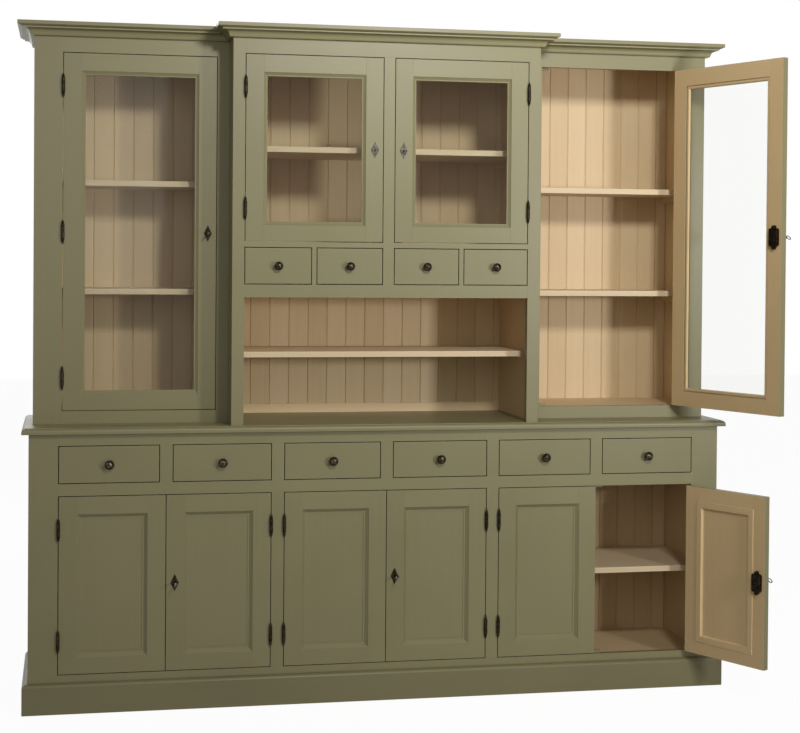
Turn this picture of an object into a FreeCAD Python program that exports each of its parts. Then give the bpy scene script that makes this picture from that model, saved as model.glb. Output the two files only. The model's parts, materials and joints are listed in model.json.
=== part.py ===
import FreeCAD, Part
import math
import os

os.makedirs("parts", exist_ok=True)
Vector = FreeCAD.Vector

# Base cupboard, in millimetres
base_width = 2280.0
base_depth = 440.0
base_outer_stile = 91.0
base_mullion = 40.0
drawer_divider = 40.0
bottom_rail = 59.0
door_opening_height = 563.5
mid_rail = 38.0
drawer_opening_height = 120.0
top_rail = 37.5
base_floor_height = 97.0
base_shelf_share = 0.4916

# Plinth
plinth_height = 96.0
plinth_proud = 18.0
plinth_round = 10.0
plinth_reveal = 23.0
bearer_thickness = 20.0

# Worktop
worktop_thickness = 20.0
worktop_overhang = 22.0
worktop_round = 11.0
worktop_quirk = 1.5

# Hutch: two towers set back, and a centre section in the plane of the base
hutch_inset = 10.0
tower_setback = 118.0
tower_outer_stile = 90.0
tower_inner_stile = 39.0
tower_bottom_rail = 40.5
tower_opening_height = 1149.0
head_rail = 91.5
tower_shelf_share = (0.3416, 0.648)
centre_share = 0.4456
centre_stile = 39.0
centre_middle_stile = 36.0
niche_height = 410.0
niche_rail = 41.5
niche_shelf_share = 0.5634
niche_shelf_setback = 90.0
spice_opening_height = 120.0
spice_rail = 17.0
spice_divider = 15.0
centre_shelf_share = 0.5166

# Cornice
cornice_height = 42.0
cornice_projection = 52.0

# Boards that the carcass is made of
side_thickness = 20.0
frame_thickness = 22.0
floor_thickness = 18.0
shelf_thickness = 19.0
shelf_setback = 36.0
shelf_end_gap = 0.5
shelf_corner = 14.0
back_thickness = 10.0
back_board_pitch = 67.0
back_board_bevel = 3.0
batten_height = 31.0
batten_thickness = 10.0
cleat_height = 20.0
cleat_depth = 16.0
peg_radius = 4.0
peg_length = 18.0
peg_inset = 28.0
stop_length = 30.0
stop_thickness = 12.0
stop_reach = 8.0
stop_hold = 12.0
stop_clearance = 0.5

# Doors
gap = 2.5
door_thickness = frame_thickness - stop_clearance
door_stile = 57.0
door_top_rail = 56.0
door_bottom_rail = 51.0
panel_thickness = 7.0
panel_recess = 8.0
panel_mould_width = 17.0
panel_mould_lip = 1.5
panel_mould_flat = 1.5
panel_mould_step = 0.8
glass_thickness = 4.0
glass_recess = 9.0
glass_mould_width = 13.0
glass_mould_lip = 3.0
tower_open_angle = 113.0
base_open_angle = 117.0

# Drawers
drawer_side_thickness = 10.0
drawer_bottom_thickness = 5.0
drawer_bottom_lift = 8.0
drawer_side_drop = 4.0
base_drawer_length = 380.0
spice_drawer_length = 300.0
runner_reach = 20.0
runner_thickness = 18.0
guide_height = 14.0
runner_clearance = 0.5
drawer_stop_length = 20.0
drawer_stop_width = 14.0

# Knobs
base_knob_radius = 15.0
spice_knob_radius = 14.0
knob_projection = 30.0
knob_plate_radius = 9.5
knob_plate_thickness = 3.0

# Hinges: lift-off hinges with a pointed finial at each end
hinge_inset = 104.0
hinge_barrel_length = 46.0
hinge_barrel_radius = 5.5
hinge_finial_length = 18.0
hinge_face_clearance = 0.4
hinge_leaf_thickness = 1.0
hinge_leaf_depth = 17.0
hinge_pin_radius = 2.5
hinge_pin_length = 16.0
hinge_knuckle_gap = 0.4
pin_clearance = 0.05

# Locks and keys
keyhole_inset = 27.0
keyhole_radius = 2.5
escutcheon_height = 54.0
escutcheon_width = 26.0
escutcheon_thickness = 1.6
lock_width = 34.0
lock_height = 58.0
lock_depth = 12.0
lock_wall = 2.0
lock_corner = 4.0
lock_lug_height = 9.0
lock_lug_width = 12.0
bolt_height = 16.0
bolt_thickness = 3.5
bolt_setback = 1.5
bolt_clearance = 0.3
key_shank_radius = 2.1
key_projection = 50.0
key_bow_radius = 9.5
key_bow_hole = 6.0
key_bow_thickness = 3.0
key_bit_length = 7.0
key_bit_depth = 3.0
key_bit_thickness = 2.0
key_collar_radius = 3.6
key_collar_length = 3.0
key_rest_turn = 45.0

# How many flat sides stand for a round, and bands for a knob's crown
hinge_sides = 6
pin_sides = 6
key_sides = 6
key_bow_sides = 10
peg_sides = 8
knob_sides = 12
knob_bands = 3

# Spare length that every cut runs past the piece it cuts
overrun = 5.0

# Planes and levels that follow from the sizes above
face = -base_depth / 2
wall = base_depth / 2
tower_face = face + tower_setback
half_base = base_width / 2
half_hutch = half_base - hutch_inset
centre_width = base_width * centre_share
half_centre = centre_width / 2
board_face = wall - back_thickness
door_low = plinth_height + plinth_reveal
door_high = door_low + door_opening_height
drawer_low = door_high + mid_rail
drawer_high = drawer_low + drawer_opening_height
worktop_under = drawer_high + top_rail
worktop_height = worktop_under + worktop_thickness
tower_low = worktop_height + tower_bottom_rail
tower_high = tower_low + tower_opening_height
hutch_top = tower_high + head_rail
niche_high = worktop_height + niche_height
spice_low = niche_high + niche_rail
spice_high = spice_low + spice_opening_height
centre_low = spice_high + spice_rail
centre_high = tower_high
tower_opening_outer = half_hutch - tower_outer_stile
tower_opening_inner = half_centre + tower_inner_stile
centre_opening_outer = half_centre - centre_stile
centre_opening_inner = centre_middle_stile / 2
pair_opening = (base_width - 2 * base_outer_stile - 2 * base_mullion) / 3
drawer_opening = (base_width - 2 * base_outer_stile - 5 * drawer_divider) / 6
spice_opening = (centre_opening_outer - centre_opening_inner - spice_divider) / 2
base_shelf_height = door_low + door_opening_height * base_shelf_share
niche_shelf_height = worktop_height + niche_height * niche_shelf_share
centre_shelf_height = centre_low + (centre_high - centre_low) * centre_shelf_share

# Outlines given as shares of their own width or reach, then of their height or depth
cornice_bead_share = (0.24, 0.0)
cornice_bead_top_share = (0.28, 0.13)
cornice_cove_mid_share = (0.38, 0.38)
cornice_cove_end_share = (0.66, 0.50)
cornice_fillet_share = (0.72, 0.50)
cornice_fillet_top_share = (0.72, 0.62)
cornice_ovolo_mid_share = (0.87, 0.66)
cornice_ovolo_end_share = (0.94, 0.72)
cornice_fascia_share = (1.0, 0.72)
cornice_cap_share = (1.0, 0.97)
cornice_edge_share = (0.97, 1.0)
glass_ovolo_mid_share = (0.55, 0.73)
knob_neck_share = (0.40, 0.38)
knob_cup_share = (0.84, 0.46)
knob_widest_share = 0.62
finial_neck_share = (0.72, 0.45)
round_mid_share = math.sqrt(0.5)


def board(x0, x1, y0, y1, z0, z1):
    low = Vector(min(x0, x1), min(y0, y1), min(z0, z1))
    return Part.makeBox(abs(x1 - x0), abs(y1 - y0), abs(z1 - z0), low)


def plan_board(corners, z0, z1):
    """An upright prism on a plan given by its corners."""
    ring = [Vector(x, y, z0) for x, y in corners]
    return Part.Face(Part.makePolygon(ring + ring[:1])).extrude(Vector(0, 0, z1 - z0))


def outline(points):
    """A face in the plane x = 0. A point is (y, z), and a pair (middle, end) adds an arc."""
    edges = []
    first = Vector(0, points[0][0], points[0][1])
    start = first
    for item in points[1:]:
        if isinstance(item[0], tuple):
            middle = Vector(0, item[0][0], item[0][1])
            end = Vector(0, item[1][0], item[1][1])
            edges.append(Part.Arc(start, middle, end).toShape())
        else:
            end = Vector(0, item[0], item[1])
            edges.append(Part.LineSegment(start, end).toShape())
        start = end
    edges.append(Part.LineSegment(start, first).toShape())
    return Part.Face(Part.Wire(edges))


def mitred_run(points, reach, start, outward, up, length, start_turn, end_turn):
    """One length of moulding, its outline in (outward, up), running along outward x up.
    A turn of 1 mitres an outer corner, -1 an inner one, and 0 leaves the end square."""
    along = outward.cross(up)
    spare = reach + overrun
    section = outline(points)
    section.translate(Vector(-spare, 0, 0))
    bar = section.extrude(Vector(length + 2 * spare, 0, 0))
    plan = [(0, 0), (-start_turn * spare, spare), (length + end_turn * spare, spare), (length, 0)]
    box = bar.BoundBox
    piece = bar.common(plan_board(plan, box.ZMin - overrun, box.ZMax + overrun)).Solids[0]
    turn = FreeCAD.Matrix(
        along.x, outward.x, up.x, start.x,
        along.y, outward.y, up.y, start.y,
        along.z, outward.z, up.z, start.z,
        0, 0, 0, 1)
    piece.Placement = FreeCAD.Placement(turn)
    return piece


def facets(points, sides, centre, axis=Vector(0, 0, 1)):
    """A turned piece with flat sides, from (radius, distance along the axis) points."""
    rings = []
    for radius, height in points:
        turns = [math.tau * (i + 1 / 2) / sides for i in range(sides)]
        rings.append([Vector(radius * math.cos(a), radius * math.sin(a), height) for a in turns])
    faces = []
    for (low_radius, _), (high_radius, _), low, high in zip(points[:-1], points[1:], rings[:-1], rings[1:]):
        for i in range(sides):
            j = (i + 1) % sides
            corners = [low[i], low[j]] if low_radius > 0 else [low[i]]
            corners += [high[j], high[i]] if high_radius > 0 else [high[i]]
            faces.append(Part.Face(Part.makePolygon(corners + corners[:1])))
    for (radius, _), ring in ((points[0], rings[0]), (points[-1], rings[-1])):
        if radius > 0:
            faces.append(Part.Face(Part.makePolygon(ring + ring[:1])))
    piece = Part.Solid(Part.Shell(faces))
    if piece.Volume < 0:
        piece.reverse()
    piece.Placement = FreeCAD.Placement(centre, FreeCAD.Rotation(Vector(0, 0, 1), axis))
    return piece


def rod(radius, length, sides, centre, axis=Vector(0, 0, 1)):
    return facets([(radius, 0), (radius, length)], sides, centre, axis)


def crown(radius, start, top, bands):
    """Points of a round crown that springs from a rim and closes on the axis."""
    rise = top - start
    sphere = (radius * radius + rise * rise) / (2 * rise)
    full = math.asin(min(1, radius / sphere))
    angles = [full * (bands - i) / bands for i in range(1, bands)]
    return [(sphere * math.sin(a), top - sphere + sphere * math.cos(a)) for a in angles] + [(0, top)]


def save(name, shapes):
    solids = [solid for shape in shapes for solid in shape.Solids]
    Part.makeCompound(solids).exportStep("parts/" + name + ".step")


def back_boards(x0, x1, z0, z1):
    """Upright boards with bevelled edges, jointed on the centre line, the outer ones cut to fit."""
    count = math.ceil(max(abs(x0), abs(x1)) / back_board_pitch)
    least = 3 * back_board_bevel
    places = [i * back_board_pitch for i in range(-count, count + 1)]
    joints = [x0] + [place for place in places if x0 + least < place < x1 - least] + [x1]
    behind = board_face + back_board_bevel
    boards = []
    for left, right in zip(joints[:-1], joints[1:]):
        corners = [(left, wall), (left, behind), (left + back_board_bevel, board_face),
                   (right - back_board_bevel, board_face), (right, behind), (right, wall)]
        boards.append(plan_board(corners, z0, z1))
    return boards


def plinth():
    """Three mitred plinth mouldings, two long bearers, and the short bearers between them."""
    up = Vector(0, 0, 1)
    flat = plinth_height - plinth_round
    middle = (plinth_proud * round_mid_share, flat + plinth_round * round_mid_share)
    section = [(0, 0), (plinth_proud, 0), (plinth_proud, flat), (middle, (0, plinth_height))]
    runs = [
        (Vector(half_base, face, 0), Vector(0, -1, 0), base_width, 1, 1),
        (Vector(-half_base, face, 0), Vector(-1, 0, 0), base_depth, 1, 0),
        (Vector(half_base, wall, 0), Vector(1, 0, 0), base_depth, 0, 1),
    ]
    pieces = []
    for start, outward, length, start_turn, end_turn in runs:
        pieces.append(mitred_run(section, plinth_proud, start, outward, up, length, start_turn, end_turn))
    inner = half_base - side_thickness
    top = base_floor_height - floor_thickness
    rear = board_face - bearer_thickness
    middle = bearer_thickness / 2
    pieces.append(board(-inner, inner, rear, board_face, 0, top))
    pieces.append(board(-half_base + base_outer_stile, half_base - base_outer_stile,
                        face, face + frame_thickness, 0, door_low - bottom_rail))
    for x in [0] + mullion_places():
        pieces.append(board(x - middle, x + middle, face + frame_thickness, rear, 0, top))
    return pieces


def mullion_places():
    """Centre lines of the two mullions between the three pairs of doors."""
    place = (pair_opening + base_mullion) / 2
    return [-place, place]


def row_edges(first, opening, divider, count):
    """Left and right edges of a row of openings."""
    step = opening + divider
    return [(first + i * step, first + i * step + opening) for i in range(count)]


def pair_edges():
    return row_edges(-half_base + base_outer_stile, pair_opening, base_mullion, 3)


def drawer_edges():
    return row_edges(-half_base + base_outer_stile, drawer_opening, drawer_divider, 6)


def spice_edges():
    left = row_edges(-centre_opening_outer, spice_opening, spice_divider, 2)
    right = row_edges(centre_opening_inner, spice_opening, spice_divider, 2)
    return left + right


def base_carcass():
    """Two end panels, two partitions, and the bottom board between the end panels."""
    back = face + frame_thickness
    inner = half_base - side_thickness
    half = side_thickness / 2
    pieces = [board(-inner, inner, back, board_face, base_floor_height - floor_thickness, base_floor_height)]
    for side in (-1, 1):
        pieces.append(board(side * half_base, side * inner, back, wall, 0, worktop_under))
    for x in mullion_places():
        pieces.append(board(x - half, x + half, back, board_face, base_floor_height, worktop_under))
    return pieces


def stop_blocks(left, right, low, high, front, on_floor):
    """Two small blocks behind a face frame that a shut door rests on, at its head and its foot."""
    back = front + frame_thickness
    rear = back + stop_thickness
    foot = low if on_floor else low - stop_hold
    return [
        board(left, right, back, rear, high - stop_reach, high + stop_hold),
        board(left, right, back, rear, foot, low + stop_reach),
    ]


def base_face_frame():
    """Stiles, rails, mullions and drawer dividers, with the door stops behind them."""
    back = face + frame_thickness
    inner = half_base - base_outer_stile
    pieces = []
    for side in (-1, 1):
        pieces.append(board(side * inner, side * half_base, face, back, 0, worktop_under))
    for low, high in ((door_low - bottom_rail, door_low), (door_high, drawer_low), (drawer_high, worktop_under)):
        pieces.append(board(-inner, inner, face, back, low, high))
    for left, right in zip(pair_edges()[:-1], pair_edges()[1:]):
        pieces.append(board(left[1], right[0], face, back, door_low, door_high))
    for left, right in zip(drawer_edges()[:-1], drawer_edges()[1:]):
        pieces.append(board(left[1], right[0], face, back, drawer_low, drawer_high))
    for left, right in pair_edges():
        middle = (left + right) / 2
        pieces += stop_blocks(middle - stop_length, middle + stop_length, door_low, door_high, face, False)
    return pieces


def base_bays():
    """Left and right inner faces of the three bays of the base."""
    half = side_thickness / 2
    inner = half_base - side_thickness
    left, right = mullion_places()
    return [(-inner, left - half), (left + half, right - half), (right + half, inner)]


def shelf_places():
    """Each shelf on cleats as its left face, right face, front edge and top."""
    outer = half_hutch - side_thickness
    inner = half_centre - side_thickness
    front = face + frame_thickness + shelf_setback
    tower_front = tower_face + frame_thickness + shelf_setback
    base = [(left, right, front, base_shelf_height) for left, right in base_bays()]
    hutch = [(-inner, inner, front, centre_shelf_height)]
    for share in tower_shelf_share:
        height = tower_low + tower_opening_height * share
        hutch.append((-outer, -half_centre, tower_front, height))
        hutch.append((half_centre, outer, tower_front, height))
    return base, hutch


def niche_shelf_place():
    inner = half_centre - side_thickness
    return -inner, inner, face + niche_shelf_setback, niche_shelf_height


def shelf(left, right, front, top):
    """A loose board with its two front corners clipped, so that it tips in past the face frame."""
    left = left + shelf_end_gap
    right = right - shelf_end_gap
    corners = [(left, board_face), (left, front + shelf_corner), (left + shelf_corner, front),
               (right - shelf_corner, front), (right, front + shelf_corner), (right, board_face)]
    return plan_board(corners, top - shelf_thickness, top)


def base_shelves():
    return [shelf(*place) for place in shelf_places()[0]]


def hutch_shelves():
    return [shelf(*place) for place in shelf_places()[1] + [niche_shelf_place()]]


def shelf_supports():
    """A cleat at each end of a cupboard shelf, and four round pegs under the niche shelf."""
    pieces = []
    base, hutch = shelf_places()
    for left, right, front, top in base + hutch:
        under = top - shelf_thickness
        for side, x in ((1, left), (-1, right)):
            pieces.append(board(x, x + side * cleat_depth, front + shelf_corner, board_face,
                                under - cleat_height, under))
    left, right, front, top = niche_shelf_place()
    flat = peg_radius * math.cos(math.pi / peg_sides)
    z = top - shelf_thickness - flat
    for y in (front + peg_inset, board_face - peg_inset):
        pieces.append(rod(peg_radius, peg_length, peg_sides, Vector(left, y, z), Vector(1, 0, 0)))
        pieces.append(rod(peg_radius, peg_length, peg_sides, Vector(right, y, z), Vector(-1, 0, 0)))
    return pieces


def drawer_stop(x, inward, length, low):
    """A block that the back of a shut drawer rests on."""
    rear = face + frame_thickness + length + stop_clearance
    return board(x, x + inward * drawer_stop_width, rear, rear + drawer_stop_length, low, low + guide_height)


def drawer_runners():
    """Under both ends of each wide drawer a runner with a guide and a stop, and above it a kicker."""
    back = face + frame_thickness
    guide_width = (drawer_divider - side_thickness) / 2
    pieces = []
    for left, right in drawer_edges():
        for inward, x in ((1, left), (-1, right)):
            outer = x - inward * guide_width
            inner = x + inward * runner_reach
            pieces.append(board(outer, inner, back, board_face, drawer_low - runner_thickness, drawer_low))
            pieces.append(board(outer, x, back, board_face, drawer_low, drawer_low + guide_height))
            pieces.append(board(outer, inner, back, board_face, drawer_high, drawer_high + runner_thickness))
            pieces.append(drawer_stop(x, inward, base_drawer_length, drawer_low))
    return pieces


def spice_guides():
    """Guides and stops on the board that carries the small drawers."""
    back = face + frame_thickness
    top = spice_low + guide_height
    wall_face = half_centre - side_thickness
    edges = spice_edges()
    ends = [-wall_face] + [x for pair in edges for x in pair] + [wall_face]
    pieces = []
    for left, right in zip(ends[::2], ends[1::2]):
        pieces.append(board(left, right, back, board_face, spice_low, top))
    for left, right in edges:
        pieces.append(drawer_stop(left, 1, spice_drawer_length, spice_low))
        pieces.append(drawer_stop(right, -1, spice_drawer_length, spice_low))
    return pieces


def worktop():
    """A slab with a thumbnail moulding worked on its front and both ends."""
    reach = half_base + worktop_overhang
    front = face - worktop_overhang
    flat = worktop_height - worktop_quirk
    square = flat - worktop_round
    mid = worktop_round * round_mid_share
    across = [(front, worktop_under), (front, square),
              ((front + worktop_round - mid, square + mid), (front + worktop_round, flat)),
              (front + worktop_round, worktop_height), (wall, worktop_height), (wall, worktop_under)]
    slab = outline(across)
    slab.translate(Vector(-reach - overrun, 0, 0))
    slab = slab.extrude(Vector(2 * (reach + overrun), 0, 0))
    side = reach - worktop_round
    ends = [(-reach, worktop_under), (-reach, square), ((-side - mid, square + mid), (-side, flat)),
            (-side, worktop_height), (side, worktop_height), (side, flat),
            ((side + mid, square + mid), (reach, square)), (reach, worktop_under)]
    bar = outline(ends)
    bar.rotate(Vector(0, 0, 0), Vector(0, 0, 1), -90)
    bar.translate(Vector(0, front - overrun, 0))
    bar = bar.extrude(Vector(0, wall - front + 2 * overrun, 0))
    return [slab.common(bar)]


def hutch_carcass():
    """Outer sides, the sides of the centre section, floors, tops and the boards round the drawers."""
    outer = half_hutch - side_thickness
    inner = half_centre - side_thickness
    back = face + frame_thickness
    tower_back = tower_face + frame_thickness
    top = hutch_top - floor_thickness
    pieces = []
    for side in (-1, 1):
        pieces.append(board(side * half_hutch, side * outer, tower_back, wall, worktop_height, hutch_top))
        pieces.append(board(side * half_centre, side * inner, back, board_face, worktop_height, hutch_top))
        for low, high in ((tower_low - floor_thickness, tower_low), (top, hutch_top)):
            pieces.append(board(side * half_centre, side * outer, tower_back, board_face, low, high))
    for low, high in ((spice_low - floor_thickness, spice_low), (spice_high, centre_low), (top, hutch_top)):
        pieces.append(board(-inner, inner, back, board_face, low, high))
    return pieces


def tower_face_frame(side):
    back = tower_face + frame_thickness
    outer = side * tower_opening_outer
    inner = side * tower_opening_inner
    pieces = [
        board(outer, side * half_hutch, tower_face, back, worktop_height, hutch_top),
        board(side * half_centre, inner, tower_face, back, worktop_height, hutch_top),
        board(inner, outer, tower_face, back, worktop_height, tower_low),
        board(inner, outer, tower_face, back, tower_high, hutch_top),
    ]
    return pieces + stop_blocks(inner, inner + side * stop_length, tower_low, tower_high, tower_face, True)


def centre_face_frame():
    back = face + frame_thickness
    half = centre_opening_inner
    opening = centre_opening_outer
    pieces = [
        board(-opening, opening, face, back, niche_high, spice_low),
        board(-opening, opening, face, back, centre_high, hutch_top),
        board(-half, half, face, back, spice_low, centre_high),
    ]
    for side in (-1, 1):
        pieces.append(board(side * opening, side * half_centre, face, back, worktop_height, hutch_top))
        pieces.append(board(side * half, side * opening, face, back, spice_high, centre_low))
        divider = side * (half + spice_opening)
        pieces.append(board(divider, divider + side * spice_divider, face, back, spice_low, spice_high))
    reach = half + stop_length
    return pieces + stop_blocks(-reach, reach, centre_low, centre_high, face, True)


def hutch_back_boards():
    """The hutch's back, and the batten across the foot of the niche."""
    outer = half_hutch - side_thickness
    inner = half_centre - side_thickness
    batten = board(-inner, inner, board_face - batten_thickness, board_face,
                   worktop_height, worktop_height + batten_height)
    return back_boards(-outer, outer, worktop_height, hutch_top) + [batten]


def cornice():
    """Seven mitred lengths that follow the breakfront round from wall to wall."""
    up = Vector(0, 0, 1)
    ahead = Vector(0, -1, 0)
    z = hutch_top - cornice_height

    def place(share):
        return (share[0] * cornice_projection, share[1] * cornice_height)

    section = [
        (0, 0), place(cornice_bead_share), place(cornice_bead_top_share),
        (place(cornice_cove_mid_share), place(cornice_cove_end_share)),
        place(cornice_fillet_share), place(cornice_fillet_top_share),
        (place(cornice_ovolo_mid_share), place(cornice_ovolo_end_share)),
        place(cornice_fascia_share), place(cornice_cap_share), place(cornice_edge_share),
        (0, cornice_height),
    ]
    tower_run = half_hutch - half_centre
    left = Vector(-1, 0, 0)
    right = Vector(1, 0, 0)
    runs = [
        (-half_hutch, tower_face, left, wall - tower_face, 1, 0),
        (-half_centre, tower_face, ahead, tower_run, -1, 1),
        (-half_centre, face, left, tower_setback, 1, -1),
        (half_centre, face, ahead, centre_width, 1, 1),
        (half_centre, tower_face, right, tower_setback, -1, 1),
        (half_hutch, tower_face, ahead, tower_run, 1, -1),
        (half_hutch, wall, right, wall - tower_face, 0, 1),
    ]
    pieces = []
    for x, y, outward, length, start_turn, end_turn in runs:
        pieces.append(mitred_run(section, cornice_projection, Vector(x, y, z), outward, up,
                                 length, start_turn, end_turn))
    return pieces


class Door:
    """A door as it hangs when shut: its edges, its front plane, and the side (-1 left) that it hangs on."""

    def __init__(self, edges, low, high, front, side, hinges, glazed, locked, keyed, opened):
        self.left = min(edges)
        self.right = max(edges)
        self.low = low + gap
        self.high = high - gap
        self.front = front
        self.back = front + door_thickness
        self.side = side
        self.hinges = hinges
        self.glazed = glazed
        self.locked = locked
        self.keyed = keyed
        self.opened = opened
        self.hung = self.right if side > 0 else self.left
        self.free = self.left if side > 0 else self.right
        self.axis_x = self.hung + side * gap / 2
        self.axis_y = front - hinge_barrel_radius - hinge_face_clearance
        self.key_x = self.free + side * keyhole_inset
        self.key_z = (self.low + self.high) / 2

    def hang(self, shapes):
        """Turns the pieces of a door that stands open about its hinge line."""
        for shape in shapes:
            shape.rotate(Vector(self.axis_x, self.axis_y, 0), Vector(0, 0, 1), self.side * self.opened)
        return shapes

    def hinge_places(self):
        first = self.low + hinge_inset
        last = self.high - hinge_inset
        return [first + (last - first) * i / (self.hinges - 1) for i in range(self.hinges)]

    def inside_frame(self):
        """Left, right, low and high edges of the opening inside the door's stiles and rails."""
        return self.left + door_stile, self.right - door_stile, self.low + door_bottom_rail, self.high - door_top_rail


def keyhole(door, front, back):
    """A round hole with a slot below it for the key's bit."""
    half = key_bit_thickness / 2 + bolt_clearance
    low = door.key_z - key_bit_length - bolt_clearance
    hole = rod(keyhole_radius, back - front, key_sides, Vector(door.key_x, front, door.key_z), Vector(0, 1, 0))
    return hole.fuse(board(door.key_x - half, door.key_x + half, front, back, low, door.key_z))


def frame_mouldings(door, section, reach, at, up):
    """Four mitred strips round the inside of a door's frame, standing on the plane y = at."""
    left, right, low, high = door.inside_frame()
    corners = [
        (Vector(left, at, low), Vector(right, at, low), Vector(0, 0, 1)),
        (Vector(left, at, high), Vector(right, at, high), Vector(0, 0, -1)),
        (Vector(left, at, low), Vector(left, at, high), Vector(1, 0, 0)),
        (Vector(right, at, low), Vector(right, at, high), Vector(-1, 0, 0)),
    ]
    strips = []
    for one, other, inward in corners:
        start = one if (other - one).dot(inward.cross(up)) > 0 else other
        strips.append(mitred_run(section, reach, start, inward, up, (other - one).Length, -1, -1))
    return strips


def sloping_section(depth):
    """Section of a panel moulding that slopes down from the frame to a thin lip."""
    return [(0, 0), (panel_mould_width, 0), (panel_mould_width, panel_mould_lip),
            (panel_mould_flat, depth - panel_mould_step), (0, depth - panel_mould_step)]


def glazing_sections():
    """Sections of the ovolo in front of the glass and of the sloping bead behind it."""
    top = glass_recess - panel_mould_step
    middle = (panel_mould_flat + (glass_mould_width - panel_mould_flat) * glass_ovolo_mid_share[0],
              glass_mould_lip + (top - glass_mould_lip) * glass_ovolo_mid_share[1])
    ovolo = [(0, 0), (glass_mould_width, 0), (glass_mould_width, glass_mould_lip),
             (middle, (panel_mould_flat, top)), (0, top)]
    depth = door_thickness - glass_recess - glass_thickness - panel_mould_step
    bead = [(0, 0), (glass_mould_width, 0), (glass_mould_width, glass_mould_lip),
            (panel_mould_flat, depth), (0, depth)]
    return ovolo, bead


def door_woodwork(door):
    """Two stiles, two rails between them, and the strips that hold the panel or the glass."""
    left, right, low, high = door.inside_frame()
    front = door.front
    stiles = [
        board(door.left, left, front, door.back, door.low, door.high),
        board(right, door.right, front, door.back, door.low, door.high),
    ]
    if door.locked:
        index = 0 if door.side > 0 else 1
        stiles[index] = stiles[index].cut(keyhole(door, front - overrun, door.back + overrun))
    pieces = stiles + [
        board(left, right, front, door.back, door.low, low),
        board(left, right, front, door.back, high, door.high),
    ]
    ahead = Vector(0, -1, 0)
    behind = Vector(0, 1, 0)
    if door.glazed:
        ovolo, bead = glazing_sections()
        seat = front + glass_recess
        pieces += frame_mouldings(door, ovolo, glass_mould_width, seat, ahead)
        pieces += frame_mouldings(door, bead, glass_mould_width, seat + glass_thickness, behind)
    else:
        seat = front + panel_recess
        rear = seat + panel_thickness
        pieces.append(board(left, right, seat, rear, low, high))
        pieces += frame_mouldings(door, sloping_section(panel_recess), panel_mould_width, seat, ahead)
        pieces += frame_mouldings(door, sloping_section(door.back - rear), panel_mould_width, rear, behind)
    return pieces


def door_glass(door):
    left, right, low, high = door.inside_frame()
    seat = door.front + glass_recess
    return [board(left, right, seat, seat + glass_thickness, low, high)]


def finial(direction, start):
    """Outline points of a pointed end, from the barrel's end out to the tip."""
    neck = start + direction * hinge_finial_length * finial_neck_share[1]
    tip = start + direction * hinge_finial_length
    return [(hinge_barrel_radius, start), (hinge_barrel_radius * finial_neck_share[0], neck), (0, tip)]


def hinge_leaf(door, low, high, on_door):
    """A flat leaf that runs back from the barrel, against the door's edge or against the frame's."""
    edge = door.hung if on_door else door.hung + door.side * gap
    direction = door.side if on_door else -door.side
    return board(edge, edge + direction * hinge_leaf_thickness, door.axis_y, door.front + hinge_leaf_depth, low, high)


def hinge_frame_halves(door):
    """Lower half of each hinge: leaf, barrel, lower finial, and the pin that stands up out of it."""
    half = hinge_barrel_length / 2
    points = finial(-1, -half)[::-1] + [(hinge_barrel_radius, 0)]
    pieces = []
    for z in door.hinge_places():
        centre = Vector(door.axis_x, door.axis_y, z)
        foot = centre - Vector(0, 0, hinge_pin_radius)
        pin = rod(hinge_pin_radius, hinge_pin_length + hinge_pin_radius, pin_sides, foot)
        barrel = facets(points, hinge_sides, centre)
        pieces.append(barrel.fuse([pin, hinge_leaf(door, z - half, z, False)]).removeSplitter())
    return pieces


def hinge_door_halves(door):
    """Upper half of each hinge: leaf, upper finial, and the barrel that drops over the pin."""
    half = hinge_barrel_length / 2
    points = [(hinge_barrel_radius, hinge_knuckle_gap)] + finial(1, half)
    bore_radius = (hinge_pin_radius + pin_clearance) / math.cos(math.pi / pin_sides)
    pieces = []
    for z in door.hinge_places():
        centre = Vector(door.axis_x, door.axis_y, z)
        bore = rod(bore_radius, hinge_pin_length + hinge_knuckle_gap, pin_sides, centre)
        leaf = hinge_leaf(door, z + hinge_knuckle_gap, z + half, True)
        pieces.append(facets(points, hinge_sides, centre).fuse(leaf).cut(bore).removeSplitter())
    return pieces


def escutcheon(door):
    """A lozenge plate round the keyhole."""
    wide = escutcheon_width / 2
    tall = escutcheon_height / 2
    corners = [(-wide, 0), (0, -tall), (wide, 0), (0, tall), (-wide, 0)]
    ring = [Vector(door.key_x + x, door.front, door.key_z + z) for x, z in corners]
    plate = Part.Face(Part.makePolygon(ring)).extrude(Vector(0, -escutcheon_thickness, 0))
    return plate.cut(keyhole(door, door.front - escutcheon_thickness - overrun, door.front + overrun))


def bolt_planes(door):
    """Front and back planes of the bolt, which passes just behind the face frame."""
    front = door.front + frame_thickness + bolt_setback
    return front, front + bolt_thickness


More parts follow.
